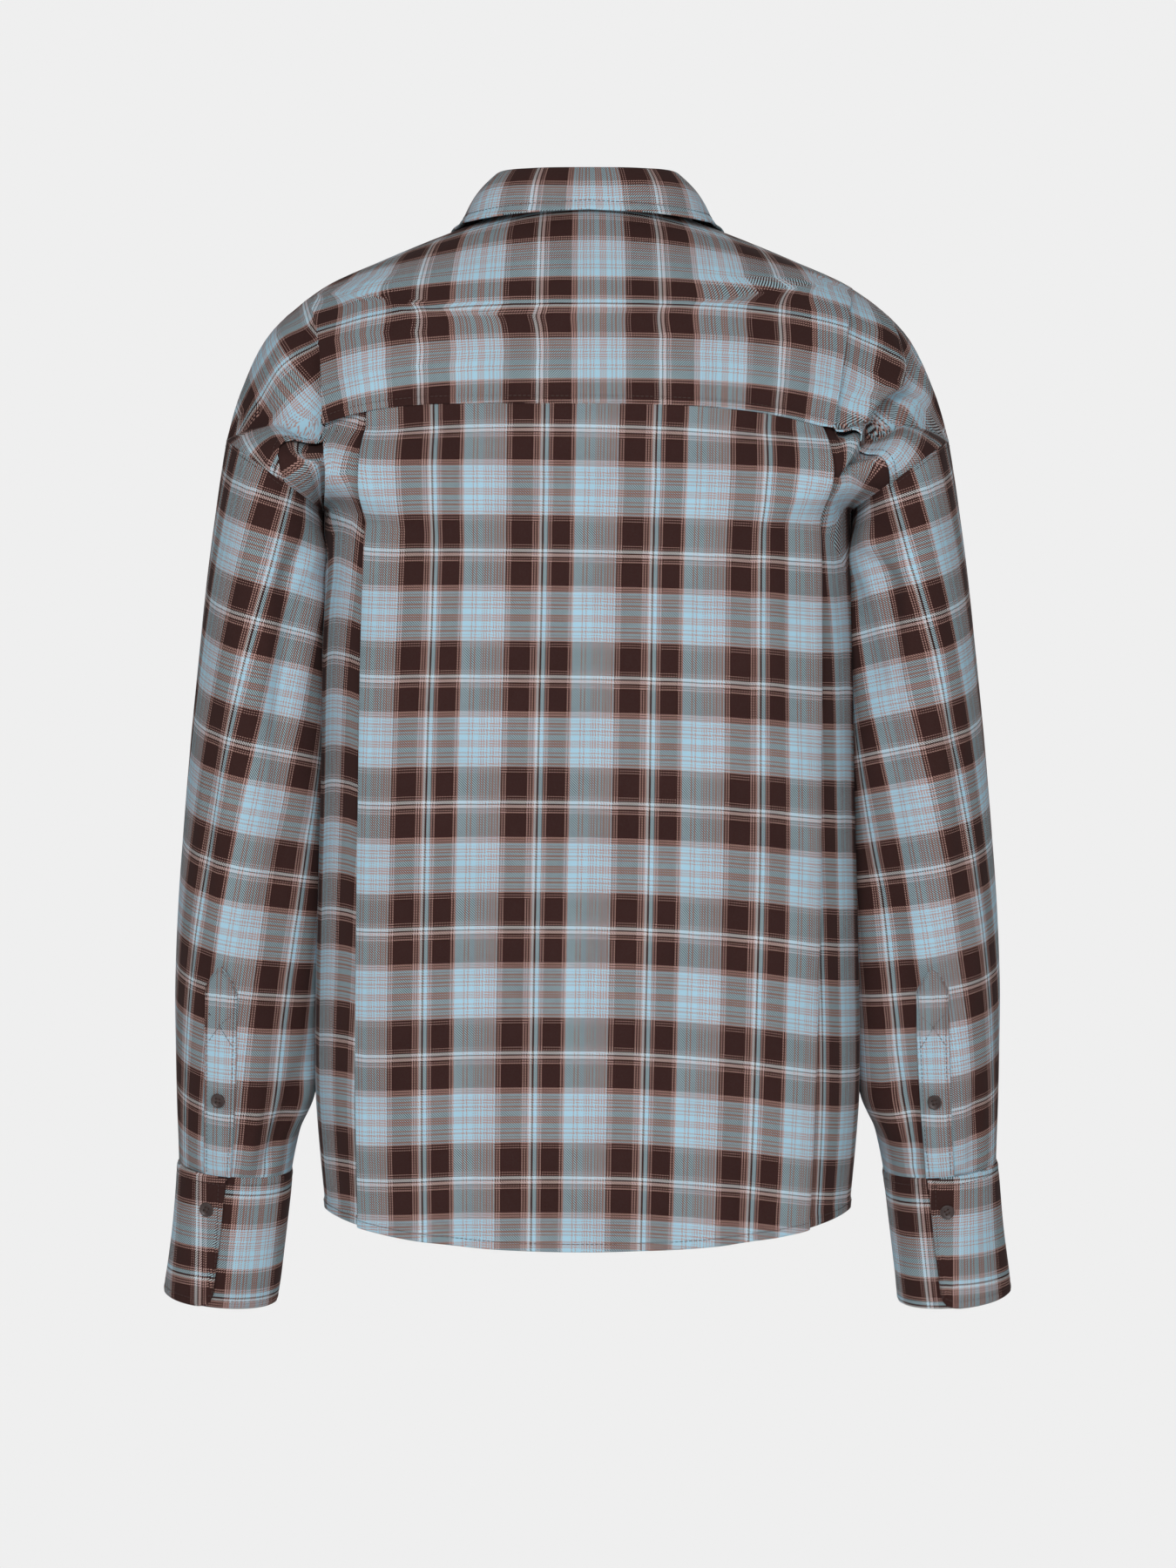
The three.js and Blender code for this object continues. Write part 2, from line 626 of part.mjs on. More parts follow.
// The strip that finishes the sleeve's slit, pointed at its top, lying on the sleeve.
function makeSleevePlacket(key, side) {
  const last = sleeveRings.length - 1;
  const g = grid(14, 5, (down, across) => {
    const share = side > 0 ? across : 1 - across;
    const slope = sleevePlacket.peakRings * (1 - down) ** 6 * Math.abs(2 * share - 1) ** 1.5;
    const at = last - 0.06 - sleevePlacket.ringsLong * (1 - down) + slope;
    const degrees = opening[key].placket - sleevePlacket.degreesWide * share;
    return sleevePoint(side, degrees, at, placketLift + layer);
  });
  add(`sleeve_placket_${key}`, wall(g, layer));
}

// The outward direction of a surface that is given by its degrees and its place.
function faceOf(side, surface, degrees, place) {
  const around = surface(degrees - 2, place).sub(surface(degrees + 2, place));
  const down = surface(degrees, place + 0.05).sub(surface(degrees, place - 0.05));
  return down.cross(around).multiplyScalar(side).normalize();
}

function makeSleeveButtons(key, side) {
  const onSleeve = (degrees, place) =>
    sleevePoint(side, degrees, place, placketLift + layer + liftOff);
  const onCuff = (degrees, place) =>
    ringPoint(cuffRings, side, degrees, place, cuff.lapLift + cuff.lift);
  const at = sleeveRings.length - 1 - sleevePlacket.buttonRings;
  const placketMiddle = opening[key].placket - sleevePlacket.degreesWide / 2;
  const cuffMiddle = opening[key].cuff - cuffButton.degreesIn;
  const placketFace = faceOf(side, onSleeve, placketMiddle, at);
  const cuffFace = faceOf(side, onCuff, cuffMiddle, cuffButton.ring);
  addButton(`placket_button_${key}`, onSleeve(placketMiddle, at), placketFace);
  addButton(`cuff_button_${key}`, onCuff(cuffMiddle, cuffButton.ring), cuffFace);
}

// The neck seam and the collar's two lines, from the left front end (-1) to the right (1).
function mirrored(table, turn) {
  const p = spot(table, Math.abs(turn) * (table.length - 1));
  return p.setX(turn < 0 ? -p.x : p.x);
}

function neckPoint(turn) {
  const backShare = 0.5;
  const side = Math.sign(turn) || 1;
  const far = Math.abs(turn);
  const half = far < backShare ? "back" : "front";
  const share = far < backShare ? far / backShare : (1 - far) / (1 - backShare);
  const out = side * share * row(half, 0).getLength();
  return plainPoint(half, out, 0);
}

// Places on the body's surface, with their outward directions, near the neck.
function neckline() {
  const places = [];
  for (const half of ["back", "front"])
    for (const level of steps(0, 5, 25)) {
      const length = row(half, level).getLength();
      for (const out of steps(-length, length, 60))
        places.push([bodyPoint(half, out, level), plainNormal(half, out, level)]);
    }
  return places;
}

// Moves a point out until it clears the nearest place by the given distance.
function restOn(places, p, clearance) {
  let [nearest, best] = [null, Infinity];
  for (const place of places) {
    const d = place[0].distanceToSquared(p);
    if (d < best) [nearest, best] = [place, d];
  }
  const height = p.clone().sub(nearest[0]).dot(nearest[1]);
  return p.addScaledVector(nearest[1], Math.max(clearance - height, 0));
}

// A point of the collar: turn runs along it, down from its fold to its outer edge.
const restPlaces = neckline();
function collarPoint(turn, down) {
  const p = mirrored(foldLine, turn).lerp(mirrored(collarEdge, turn), down);
  const bulge = collarBulge * Math.sin(Math.PI * Math.min(down * 1.15, 1));
  const away = new THREE.Vector3(p.x, p.y, 60).normalize();
  return restOn(restPlaces, p.addScaledVector(away, bulge), collarLayer + collarRest);
}

function makeCollar() {
  const g = grid(6, 40, (down, across) => collarPoint(across * 2 - 1, down));
  add("collar", wall(g, collarLayer));
}

// The stand rises from the neck seam to the collar's fold and just clears its inside.
function makeStand() {
  const g = grid(3, 40, (down, across) => {
    const turn = (across * 2 - 1) * 0.985;
    const along = collarPoint(turn + 0.01, 0).sub(collarPoint(turn - 0.01, 0));
    const fall = collarPoint(turn, 1 / 6).sub(collarPoint(turn, 0));
    const face = fall.cross(along).normalize();
    const high = collarPoint(turn, 0).addScaledVector(face, -(collarLayer + seamGap));
    const low = neckPoint(turn);
    low.z += standRise;
    return high.lerp(low, down);
  });
  add("collar_stand", wall(g, standLayer));
}

makeYoke();
makeBackPanel();
makeFront("front_right", 1);
makeFront("front_left", -1);
makeFrontBand();
makeFrontButtons();
makeStand();
makeCollar();
for (const [key, side] of [
  ["right", 1],
  ["left", -1],
]) {
  makeSleeve(`sleeve_${key}`, side);
  makeSleevePlacket(key, side);
  makeCuff(key, side);
  makeSleeveButtons(key, side);
}

export default shirt;
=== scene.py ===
import math
import bmesh
import bpy
import numpy as np
from mathutils import Matrix, Vector


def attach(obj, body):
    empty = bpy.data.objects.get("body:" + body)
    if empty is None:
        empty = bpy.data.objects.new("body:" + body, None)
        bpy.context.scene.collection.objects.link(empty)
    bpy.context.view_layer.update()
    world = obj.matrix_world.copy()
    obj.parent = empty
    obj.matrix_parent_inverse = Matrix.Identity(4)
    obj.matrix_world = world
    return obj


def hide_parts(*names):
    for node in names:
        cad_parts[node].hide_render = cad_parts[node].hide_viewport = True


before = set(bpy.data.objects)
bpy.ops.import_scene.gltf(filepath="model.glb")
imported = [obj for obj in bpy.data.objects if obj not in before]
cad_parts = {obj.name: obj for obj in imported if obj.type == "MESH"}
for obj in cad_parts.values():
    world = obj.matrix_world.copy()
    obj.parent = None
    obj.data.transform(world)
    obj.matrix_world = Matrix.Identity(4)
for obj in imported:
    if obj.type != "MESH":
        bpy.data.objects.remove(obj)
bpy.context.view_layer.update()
print("frame loaded")

# The shirt's form, the same as its solids: +X the wearer's right, +Y out of the chest, +Z up, in mm.
# The flat pieces below are thin shells on that form, with finer folds.

hemLevel = 15
armholeLevel = 6
underarmLevel = 10
yokeEnd = 8 + 1 / 3
photoScale = 0.59  # mm to a pixel of the photograph at the back's surface

shoulderSeam = {
    "x": [74, 112, 150, 188, 222, 241, 251],
    "y": [14, 18, 18, 15, 10, 6, 4],
    "z": [14, 0, -16, -34, -64, -103, -137.5],
}
sideSeam = {
    "x": [184, 186.5, 187.5, 189.5, 189.5, 182.5],
    "y": [4, 4, 4, 4, 4, 4],
    "z": [-186.5, -270, -380, -490, -585, -670],
}
armhole = {"x": 217.5, "y": 4, "z": -162, "halfRise": 24.5, "halfReach": 33.5, "halfDepth": 76}
backRows = {
    "y": [-58, -72, -87, -99, -108, -114, -117, -119, -120, -120, -120, -121, -122, -121, -119, -115],
    "z": [22, 1, -27, -54, -84, -114, -140, -160, -178, -195, -214, -292, -392, -500, -596, -693],
    "flat": [40, 62, 84, 108, 126, 138, 144, 146, 147, 150, 152, 153, 154, 154, 152, 144],
    "round": [44, 56, 64, 68, 70, 70, 62, 48, 40, 62, 92, 96, 97, 97, 95, 90],
    "dx": [0, 0.1, 0.1, 0.15, 0.2, 0.34, 0.5, 0.7, 0.72, 0.4, 0.08, 0, 0, 0, 0, 0],
    "dy": [1, 1, 1, 1, 0.97, 0.9, 0.8, 0.66, 0.66, 0.9, 1, 1, 1, 1, 1, 1],
    "dz": [-0.05, -0.12, -0.16, -0.2, -0.22, -0.28, -0.34, -0.34, -0.28, -0.12, -0.02, 0, 0, 0, 0, 0],
}
frontRows = {
    "y": [62, 80, 95, 107, 116, 122, 126, 129, 131, 133, 134, 135, 134, 132, 129, 125],
    "z": [-66, -80, -97, -116, -136, -155, -172, -187, -201, -215, -230, -302, -396, -501, -595, -691],
    "flat": [40, 64, 84, 102, 116, 124, 128, 130, 131, 138, 143, 143, 141, 139, 136, 130],
    "round": [34, 46, 58, 66, 70, 70, 62, 48, 42, 66, 100, 101, 101, 100, 98, 94],
    "dx": [0, 0.1, 0.1, 0.15, 0.2, 0.34, 0.5, 0.7, 0.72, 0.4, 0.08, 0, 0, 0, 0, 0],
    "dy": [-1, -1, -1, -1, -0.97, -0.9, -0.8, -0.66, -0.66, -0.9, -1, -1, -1, -1, -1, -1],
    "dz": [0.2, 0.3, 0.36, 0.2, 0.06, -0.06, -0.16, -0.2, -0.18, -0.1, -0.02, 0, 0, 0, 0, 0],
}
sleeveRings = {
    "x": [217.5, 222.5, 226.5, 230.2, 233.2, 236, 238.4, 240, 241, 243, 245.6, 246.8],
    "y": [4, 5, 7, 9, 12, 15, 18, 22, 26, 31, 35, 37],
    "z": [-162, -203, -248, -300, -352, -406, -462, -518, -562, -600, -629, -642.5],
    "wide": [41.5, 39.5, 40, 41.4, 43.6, 45.4, 47.2, 48, 46.9, 44.4, 41, 39.6],
    "deep": [76, 78, 78, 77, 75, 72, 69, 65, 61, 55, 47, 40],
    "lean": [36.18, 24, 14, 9, 7, 6, 5, 5, 5, 5, 5, 5],
    "pitch": [0, 0, 0, 1, 1, 2, 4, 7, 9, 10, 10, 10],
}
cuffRings = {
    "x": [246.9, 251.8, 258],
    "y": [37.1, 45, 53.5],
    "z": [-642.7, -688.5, -734.5],
    "wide": [39.6, 38.8, 39.2],
    "deep": [40.2, 38.4, 37.6],
    "lean": [4.5, 5, 5.5],
    "pitch": [10, 10, 10],
}
foldLine = {
    "x": [0, 36, 61, 66, 61, 36, 4],
    "y": [-56, -50, -28, 4, 34, 51, 57],
    "z": [47.5, 47.5, 46.5, 38, 14, -18, -42],
}
collarEdge = {
    "x": [0, 44, 78, 90, 93, 82, 58],
    "y": [-72, -66, -42, -8, 34, 72, 104],
    "z": [18.5, 16.5, 13.5, 11, -5, -51, -100],
}


# A column of a table, smoothly between its rows.
def column(table, key, at):
    values = np.array(table[key], float)
    last = len(values) - 1
    at = np.asarray(at, float)
    i = np.clip(np.floor(at), 0, last - 1).astype(int)
    f = at - i
    a = values[np.clip(i - 1, 0, last)]
    b = values[i]
    c = values[i + 1]
    d = values[np.clip(i + 2, 0, last)]
    m0 = (c - a) / 2
    m1 = (d - b) / 2
    return b + f * (m0 + f * (3 * (c - b) - 2 * m0 - m1 + f * (m0 + m1 - 2 * (c - b))))


def spot(table, at):
    return np.stack([column(table, key, at) for key in "xyz"], -1)


def ramp(low, high, value):
    f = np.clip((np.asarray(value, float) - low) / (high - low), 0, 1)
    return f * f * (3 - 2 * f)


# 1 in the middle and 0 at the half width.
def bump(distance, halfWidth):
    f = np.clip(np.abs(distance) / halfWidth, 0, 1)
    return (1 - f * f) ** 2


def unit(v):
    return v / np.maximum(np.linalg.norm(v, axis=-1, keepdims=True), 1e-9)


# How near a place (a, b) is to a bent line: 1 on the line, 0 at its half width, tapering at its ends.
def crease(a, b, line, halfWidth, sharp=1.0):
    knots = np.array(line, float)
    t = np.linspace(0, 1, 15)[:, None]
    if len(knots) == 3:
        path = (1 - t) ** 2 * knots[0] + 2 * t * (1 - t) * knots[1] + t * t * knots[2]
    else:
        path = knots[0] + t * (knots[-1] - knots[0])
    nearest = np.full(np.shape(a), 1e9)
    along = np.zeros(np.shape(a))
    for k in range(len(path) - 1):
        start = path[k]
        way = path[k + 1] - start
        f = ((a - start[0]) * way[0] + (b - start[1]) * way[1]) / (way @ way)
        f = np.clip(f, 0, 1)
        d = np.hypot(a - start[0] - f * way[0], b - start[1] - f * way[1])
        closer = d < nearest
        nearest = np.where(closer, d, nearest)
        along = np.where(closer, (k + f) / (len(path) - 1), along)
    taper = ramp(0, 0.3, along) * ramp(0, 0.3, 1 - along)
    return taper * bump(nearest, halfWidth) ** sharp


# Where points in mm are seen from the camera, measured at the back's surface.
eye = {"y": -4620.0, "z": -376.0, "surface": -120.0}


def seenFromBack(points):
    f = (eye["surface"] - eye["y"]) / (points[..., 1] - eye["y"])
    return np.stack([points[..., 0] * f, eye["z"] + (points[..., 2] - eye["z"]) * f], -1)


# From a pixel of the photograph to mm right and up at the back's surface.
def fromPixel(x, y):
    return ((x - 674.5) * photoScale, (262 - y) * photoScale)


# The body.

def armholePoint(degrees):
    a = np.radians(degrees)
    return np.stack([
        armhole["x"] + armhole["halfReach"] * np.cos(a),
        armhole["y"] - armhole["halfDepth"] * np.sin(a),
        armhole["z"] + armhole["halfRise"] * np.cos(a),
    ], -1)


def edgePoint(half, level):
    level = np.asarray(level, float)
    turn = (level - armholeLevel) / (underarmLevel - armholeLevel) * 180
    ring = armholePoint(turn if half == "back" else -turn)
    p = np.where((level < armholeLevel)[..., None], spot(shoulderSeam, np.minimum(level, 6)), ring)
    low = spot(sideSeam, np.maximum(level - underarmLevel, 0))
    return np.where((level >= underarmLevel)[..., None], low, p)


lattice = {"rows": 451, "columns": 181}


# The right half of the back or the front as a fine net of points and outward directions.
def makeNet(half):
    rows = backRows if half == "back" else frontRows
    levels = np.linspace(0, hemLevel, lattice["rows"])
    middle = np.stack([0 * levels, column(rows, "y", levels), column(rows, "z", levels)], -1)
    edge = edgePoint(half, levels)
    meets = unit(np.stack([column(rows, key, levels) for key in ("dx", "dy", "dz")], -1))
    second = middle.copy()
    second[:, 0] = column(rows, "flat", levels)
    third = edge - meets * column(rows, "round", levels)[:, None]
    t = np.linspace(0, 1, 301)[None, :, None]
    path = (1 - t) ** 3 * middle[:, None] + 3 * t * (1 - t) ** 2 * second[:, None]
    path = path + 3 * t * t * (1 - t) * third[:, None] + t ** 3 * edge[:, None]
    run = np.cumsum(np.linalg.norm(np.diff(path, axis=1), axis=-1), axis=1)
    run = np.concatenate([np.zeros((len(levels), 1)), run], axis=1)
    shares = np.linspace(0, 1, lattice["columns"])
    points = np.zeros((len(levels), len(shares), 3))
    for i in range(len(levels)):
        for k in range(3):
            points[i, :, k] = np.interp(shares, run[i] / run[i, -1], path[i, :, k])
    down = np.gradient(points, axis=0)
    across = np.gradient(points, axis=1)
    facing = np.cross(down, across) if half == "back" else np.cross(across, down)
    return {"points": points, "facing": unit(facing), "levels": levels, "lengths": run[:, -1]}


nets = {"back": makeNet("back"), "front": makeNet("front")}


def rowLength(half, level):
    return np.interp(level, nets[half]["levels"], nets[half]["lengths"])


def fromNet(half, key, out, level):
    net = nets[half]
    share = np.clip(np.abs(out) / rowLength(half, level), 0, 1)
    i = np.clip(level / hemLevel, 0, 1) * (lattice["rows"] - 1)
    j = share * (lattice["columns"] - 1)
    i0 = np.minimum(i.astype(int), lattice["rows"] - 2)
    j0 = np.minimum(j.astype(int), lattice["columns"] - 2)
    fi = (i - i0)[..., None]
    fj = (j - j0)[..., None]
    values = net[key]
    v = (values[i0, j0] * (1 - fi) * (1 - fj) + values[i0 + 1, j0] * fi * (1 - fj)
         + values[i0, j0 + 1] * (1 - fi) * fj + values[i0 + 1, j0 + 1] * fi * fj)
    v[..., 0] = v[..., 0] * np.where(out < 0, -1, 1)
    return v


valley = {"from": 2.2, "deepest": 6.2, "to": 9.2, "out": 190, "depth": 10, "halfWidth": 30}
bodyFolds = [
    {"half": "back", "from": 10.4, "to": 15, "upper": -60, "lower": -92, "halfWidth": 26, "depth": 3.5},
    {"half": "back", "from": 11.5, "to": 15, "upper": 96, "lower": 112, "halfWidth": 24, "depth": 4},
    {"half": "back", "from": 12.5, "to": 15, "upper": 20, "lower": 34, "halfWidth": 30, "depth": 2.5},
    {"half": "front", "from": 8, "to": 14.6, "upper": 118, "lower": 84, "halfWidth": 26, "depth": 6},
    {"half": "front", "from": 8, "to": 14.6, "upper": -118, "lower": -88, "halfWidth": 26, "depth": 6},
    {"half": "front", "from": 10.5, "to": 15, "upper": 58, "lower": 44, "halfWidth": 20, "depth": 3.5},
    {"half": "front", "from": 10.5, "to": 15, "upper": -56, "lower": -46, "halfWidth": 20, "depth": 3.5},
]

# Finer creases of the body: lines are (x, z) as seen square on, a negative depth stands out.
bodyCreases = [
    {"half": "back", "line": [(-120, -140), (-112, -230), (-118, -330)], "halfWidth": 20, "depth": 1.6},
    {"half": "back", "line": [(136, -150), (146, -260), (138, -380)], "halfWidth": 14, "depth": 2.0},
    {"half": "back", "line": [(148, -330), (156, -430), (150, -540)], "halfWidth": 10, "depth": -1.8},
    {"half": "back", "line": [(60, -470), (90, -560), (76, -680)], "halfWidth": 22, "depth": 1.8},
    {"half": "back", "line": [(-20, -420), (-30, -540), (-16, -670)], "halfWidth": 26, "depth": -1.6},
    {"half": "back", "line": [(-70, -90), (-40, -104), (0, -108)], "halfWidth": 12, "depth": 0.8},
    {"half": "front", "line": [(196, -150), (160, -190), (120, -210)], "halfWidth": 12, "depth": 3.5},
    {"half": "front", "line": [(-196, -150), (-158, -188), (-112, -214)], "halfWidth": 13, "depth": 3.2},
    {"half": "front", "line": [(180, -215), (140, -290), (110, -380)], "halfWidth": 16, "depth": 3.0},
    {"half": "front", "line": [(-180, -220), (-146, -300), (-120, -420)], "halfWidth": 15, "depth": 3.0},
    {"half": "front", "line": [(90, -420), (100, -540), (84, -670)], "halfWidth": 16, "depth": -2.6},
    {"half": "front", "line": [(-84, -430), (-100, -560), (-86, -672)], "halfWidth": 18, "depth": -2.4},
    {"half": "front", "line": [(30, -260), (34, -400), (26, -560)], "halfWidth": 14, "depth": 1.6},
]


# The crisp folds at the back of the shoulders, as pixels of the photograph. The cloth past a fold
# lies under it, and its checks are turned about a pale square that is seen there.
shoulderFolds = {
    "left": {"side": -1, "line": [(352, 330), (365, 385), (369, 430), (370, 470), (371, 560), (372, 690)],
             "from": 3.3, "to": 10.4, "depth": 13, "reach": 45, "turn": 52, "pale": fromPixel(355, 473)},
    "tuck": {"side": 1, "line": [(978, 330), (975, 364), (966, 430), (957, 494), (952, 590)],
             "from": 2.7, "to": 6.8, "depth": 7, "reach": 40, "turn": -27, "pale": fromPixel(979, 448)},
    "roll": {"side": 1, "line": [(1036, 370), (1041, 415), (1036, 443), (1013, 458), (1000, 474),
                                 (985, 504), (972, 540), (961, 565), (958, 620)],
             "from": 4.1, "to": 9.2, "depth": 12, "reach": 38, "turn": -48, "pale": fromPixel(1023, 520)},
}
foldLevels = np.linspace(0, 10.6, 107)


# How far out from the middle, as a share of its row, a fold lies at each level.
def foldShares(fold):
    level, out = np.meshgrid(foldLevels, np.linspace(60, 246, 373), indexing="ij")
    out = np.minimum(out, rowLength("back", level))
    seen = seenFromBack(fromNet("back", "points", out * fold["side"], level))
    line = np.array([fromPixel(x, y) for x, y in fold["line"]])
    past = (seen[..., 0] - np.interp(-seen[..., 1], -line[:, 1], line[:, 0])) * fold["side"] > 0
    first = np.where(past.any(1), np.argmax(past, axis=1), past.shape[1] - 1)
    return out[np.arange(len(foldLevels)), first] / rowLength("back", foldLevels)


for fold in shoulderFolds.values():
    fold["shares"] = foldShares(fold)


# The distance in mm past a fold, and how strongly the fold is there at that level.
def pastFold(key, out, level):
    fold = shoulderFolds[key]
    at = np.interp(level, foldLevels, fold["shares"]) * rowLength("back", level)
    strength = ramp(fold["from"], fold["from"] + 0.9, level) * (1 - ramp(fold["to"] - 1.6, fold["to"], level))
    return out * fold["side"] - at, strength


# 1 where the cloth lies past a shoulder's fold, 0 elsewhere.
def pastShoulderFold(out, level):
    most = 0.0 * level
    for key in shoulderFolds:
        past, strength = pastFold(key, out, level)
        inside = ramp(-1, 4, past) * strength * (out * shoulderFolds[key]["side"] > 0)
        most = np.maximum(most, inside)
    return most


def shoulderDepth(out, level, plainValley):
    left, leftOn = pastFold("left", out, level)
    leftDepth = shoulderFolds["left"]["depth"] * ramp(0, 3, left) * (1 - ramp(5, 45, left))
    tuck, tuckOn = pastFold("tuck", out, level)
    roll, rollOn = pastFold("roll", out, level)
    between = np.clip(tuck / np.maximum(tuck - roll, 4), 0, 1)
    tuckDepth = shoulderFolds["tuck"]["depth"] * (0.4 + 0.6 * ramp(3, 6, level))
    tuckDepth = tuckDepth * ramp(0, 2.5, tuck) * (1 - ramp(0.2, 0.9, between)) * tuckOn
    edge = -2.2 * bump(roll + 6, 10) * rollOn
    rollDepth = shoulderFolds["roll"]["depth"] * ramp(0, 3, roll) * (1 - ramp(6, 38, roll)) * rollOn
    rightDepth = np.where(roll < 0, tuckDepth, 0) + edge + rollDepth
    rightOn = np.maximum(tuckOn, rollOn)
    on = np.where(out < 0, leftOn, rightOn)
    return plainValley * (1 - on) + np.where(out < 0, leftDepth * leftOn, rightDepth)


def foldDepth(half, out, level, plain):
    toArmhole = ramp(0, 24, rowLength(half, level) - np.abs(out))
    nearArmhole = ramp(5, 6, level) * (1 - ramp(10, 10.6, level))
    swell = ramp(valley["from"], valley["deepest"], level)
    swell = swell * (1 - ramp(valley["deepest"], valley["to"], level))
    depth = swell * valley["depth"] * bump(np.abs(out) - valley["out"], valley["halfWidth"])
    if half == "back":
        depth = shoulderDepth(out, level, depth)
    for fold in bodyFolds:
        if fold["half"] == half:
            f = (level - fold["from"]) / (fold["to"] - fold["from"])
            middle = fold["upper"] + (fold["lower"] - fold["upper"]) * f
            depth = depth + fold["depth"] * ramp(0, 0.5, f) * bump(out - middle, fold["halfWidth"])
    for fold in bodyCreases:
        if fold["half"] == half:
            near = crease(plain[..., 0], plain[..., 2], fold["line"], fold["halfWidth"])
            depth = depth + fold["depth"] * near
    return depth * (1 - nearArmhole * (1 - toArmhole))


def bodyPoint(half, out, level, inward=0.0):
    out = np.asarray(out, float)
    level = np.asarray(level, float)
    plain = fromNet(half, "points", out, level)
    facing = unit(fromNet(half, "facing", out, level))
    drop = inward + foldDepth(half, out, level, plain)
    return plain - facing * np.asarray(drop)[..., None]


yokeSeam = {"middle": 5.06, "leftDip": 1.15, "rightDip": 2.2, "turnsDown": 5}


def yokeLevel(share):
    dip = np.where(share < 0, yokeSeam["leftDip"], yokeSeam["rightDip"])
    level = yokeSeam["middle"] + dip * share ** 2
    return level + (yokeEnd - level) * np.abs(share) ** yokeSeam["turnsDown"]


print("body form ready")

# Sleeves and cuffs.

sleeveFolds = [
    {"side": 1, "from": 0.6, "to": 4.2, "start": 140, "end": 72, "halfWidth": 24, "depth": 7},
    {"side": 1, "from": 5.4, "to": 10.4, "start": 60, "end": 132, "halfWidth": 20, "depth": 4},
    {"side": -1, "from": 0.8, "to": 4.6, "start": 150, "end": 112, "halfWidth": 22, "depth": 5},
    {"side": -1, "from": 6, "to": 10.4, "start": 150, "end": 128, "halfWidth": 20, "depth": 4},
    {"side": 1, "from": 1, "to": 4.4, "start": 226, "end": 276, "halfWidth": 22, "depth": 5},
    {"side": -1, "from": 1, "to": 4.4, "start": 226, "end": 276, "halfWidth": 22, "depth": 5},
    {"side": 1, "from": 5, "to": 9.4, "start": 210, "end": 262, "halfWidth": 20, "depth": 4},
    {"side": -1, "from": 5, "to": 9.4, "start": 210, "end": 262, "halfWidth": 20, "depth": 4},
]

# Finer creases of the sleeves: lines are (degrees round, ring).
sleeveCreases = [
    {"side": 1, "line": [(150, 0.4), (120, 1.2), (86, 1.9)], "halfWidth": 12, "depth": -4.0},
    {"side": 1, "line": [(160, 1.0), (138, 2.2), (128, 3.4)], "halfWidth": 13, "depth": 4.5},
    {"side": 1, "line": [(100, 1.4), (112, 2.6), (96, 4.0)], "halfWidth": 13, "depth": -2.6},
    {"side": 1, "line": [(58, 2.6), (66, 4.4), (60, 6.6)], "halfWidth": 12, "depth": 2.0},
    {"side": 1, "line": [(150, 5.0), (118, 6.4), (96, 7.6)], "halfWidth": 15, "depth": 2.4},
    {"side": 1, "line": [(130, 7.6), (112, 8.8), (116, 10.6)], "halfWidth": 12, "depth": 2.4},
    {"side": 1, "line": [(50, 8.0), (60, 9.6), (58, 11)], "halfWidth": 12, "depth": 2.0},
    {"side": -1, "line": [(150, 0.4), (126, 1.2), (104, 2.2)], "halfWidth": 12, "depth": 3.6},
    {"side": -1, "line": [(158, 1.2), (134, 2.6), (126, 4.2)], "halfWidth": 14, "depth": -3.6},
    {"side": -1, "line": [(60, 3.0), (54, 5.0), (60, 7.4)], "halfWidth": 12, "depth": 1.8},
    {"side": -1, "line": [(140, 4.6), (112, 5.8), (86, 6.6)], "halfWidth": 16, "depth": 2.2},
    {"side": -1, "line": [(150, 7.4), (132, 9.0), (124, 10.8)], "halfWidth": 12, "depth": 2.6},
    {"side": -1, "line": [(112, 8.4), (104, 9.8), (106, 11)], "halfWidth": 9, "depth": -2.0},
    {"side": 1, "line": [(240, 6.0), (280, 6.8), (320, 6.9)], "halfWidth": 16, "depth": 3.4},
    {"side": -1, "line": [(236, 6.2), (276, 7.0), (322, 6.8)], "halfWidth": 17, "depth": 3.2},
    {"side": 1, "line": [(230, 7.6), (270, 8.2), (306, 8.0)], "halfWidth": 14, "depth": 2.8},
    {"side": -1, "line": [(228, 7.8), (262, 8.5), (300, 8.3)], "halfWidth": 15, "depth": 3.0},
]


def ringPoint(rings, side, degrees, at, outward=0.0):
    a = np.radians(degrees)
    x = (column(rings, "wide", at) + outward) * np.cos(a)
    y = -(column(rings, "deep", at) + outward) * np.sin(a)
    pitch = np.radians(column(rings, "pitch", at))
    lean = -np.radians(column(rings, "lean", at))
    y, z = y * np.cos(pitch), y * np.sin(pitch)
    x, z = x * np.cos(lean) + z * np.sin(lean), -x * np.sin(lean) + z * np.cos(lean)
    p = np.stack([x, y, z], -1) + spot(rings, at)
    p[..., 0] = p[..., 0] * side
    return p


# Each sleeve swells toward the body at its inner back, so no light shows between them.
innerSwell = {
    "degrees": 152, "halfWidth": 36, "height": 12,
    "from": 0.1, "full": 1.0, "fades": 8.4, "to": 9.6,
}


def sleeveDepth(side, degrees, at):
    along = ramp(innerSwell["from"], innerSwell["full"], at)
    along = along * (1 - ramp(innerSwell["fades"], innerSwell["to"], at))
    depth = -innerSwell["height"] * along * bump(degrees - innerSwell["degrees"], innerSwell["halfWidth"])
    for fold in sleeveFolds:
        if fold["side"] == side:
            f = np.clip((at - fold["from"]) / (fold["to"] - fold["from"]), 0, 1)
            middle = fold["start"] + (fold["end"] - fold["start"]) * f
            near = bump(degrees - middle, fold["halfWidth"] * 1.4)
            depth = depth + fold["depth"] * np.sin(np.pi * f) * near
    for fold in sleeveCreases:
        if fold["side"] == side:
            line = [(a, b * 46) for a, b in fold["line"]]
            depth = depth + fold["depth"] * crease(degrees, at * 46, line, fold["halfWidth"])
    return depth


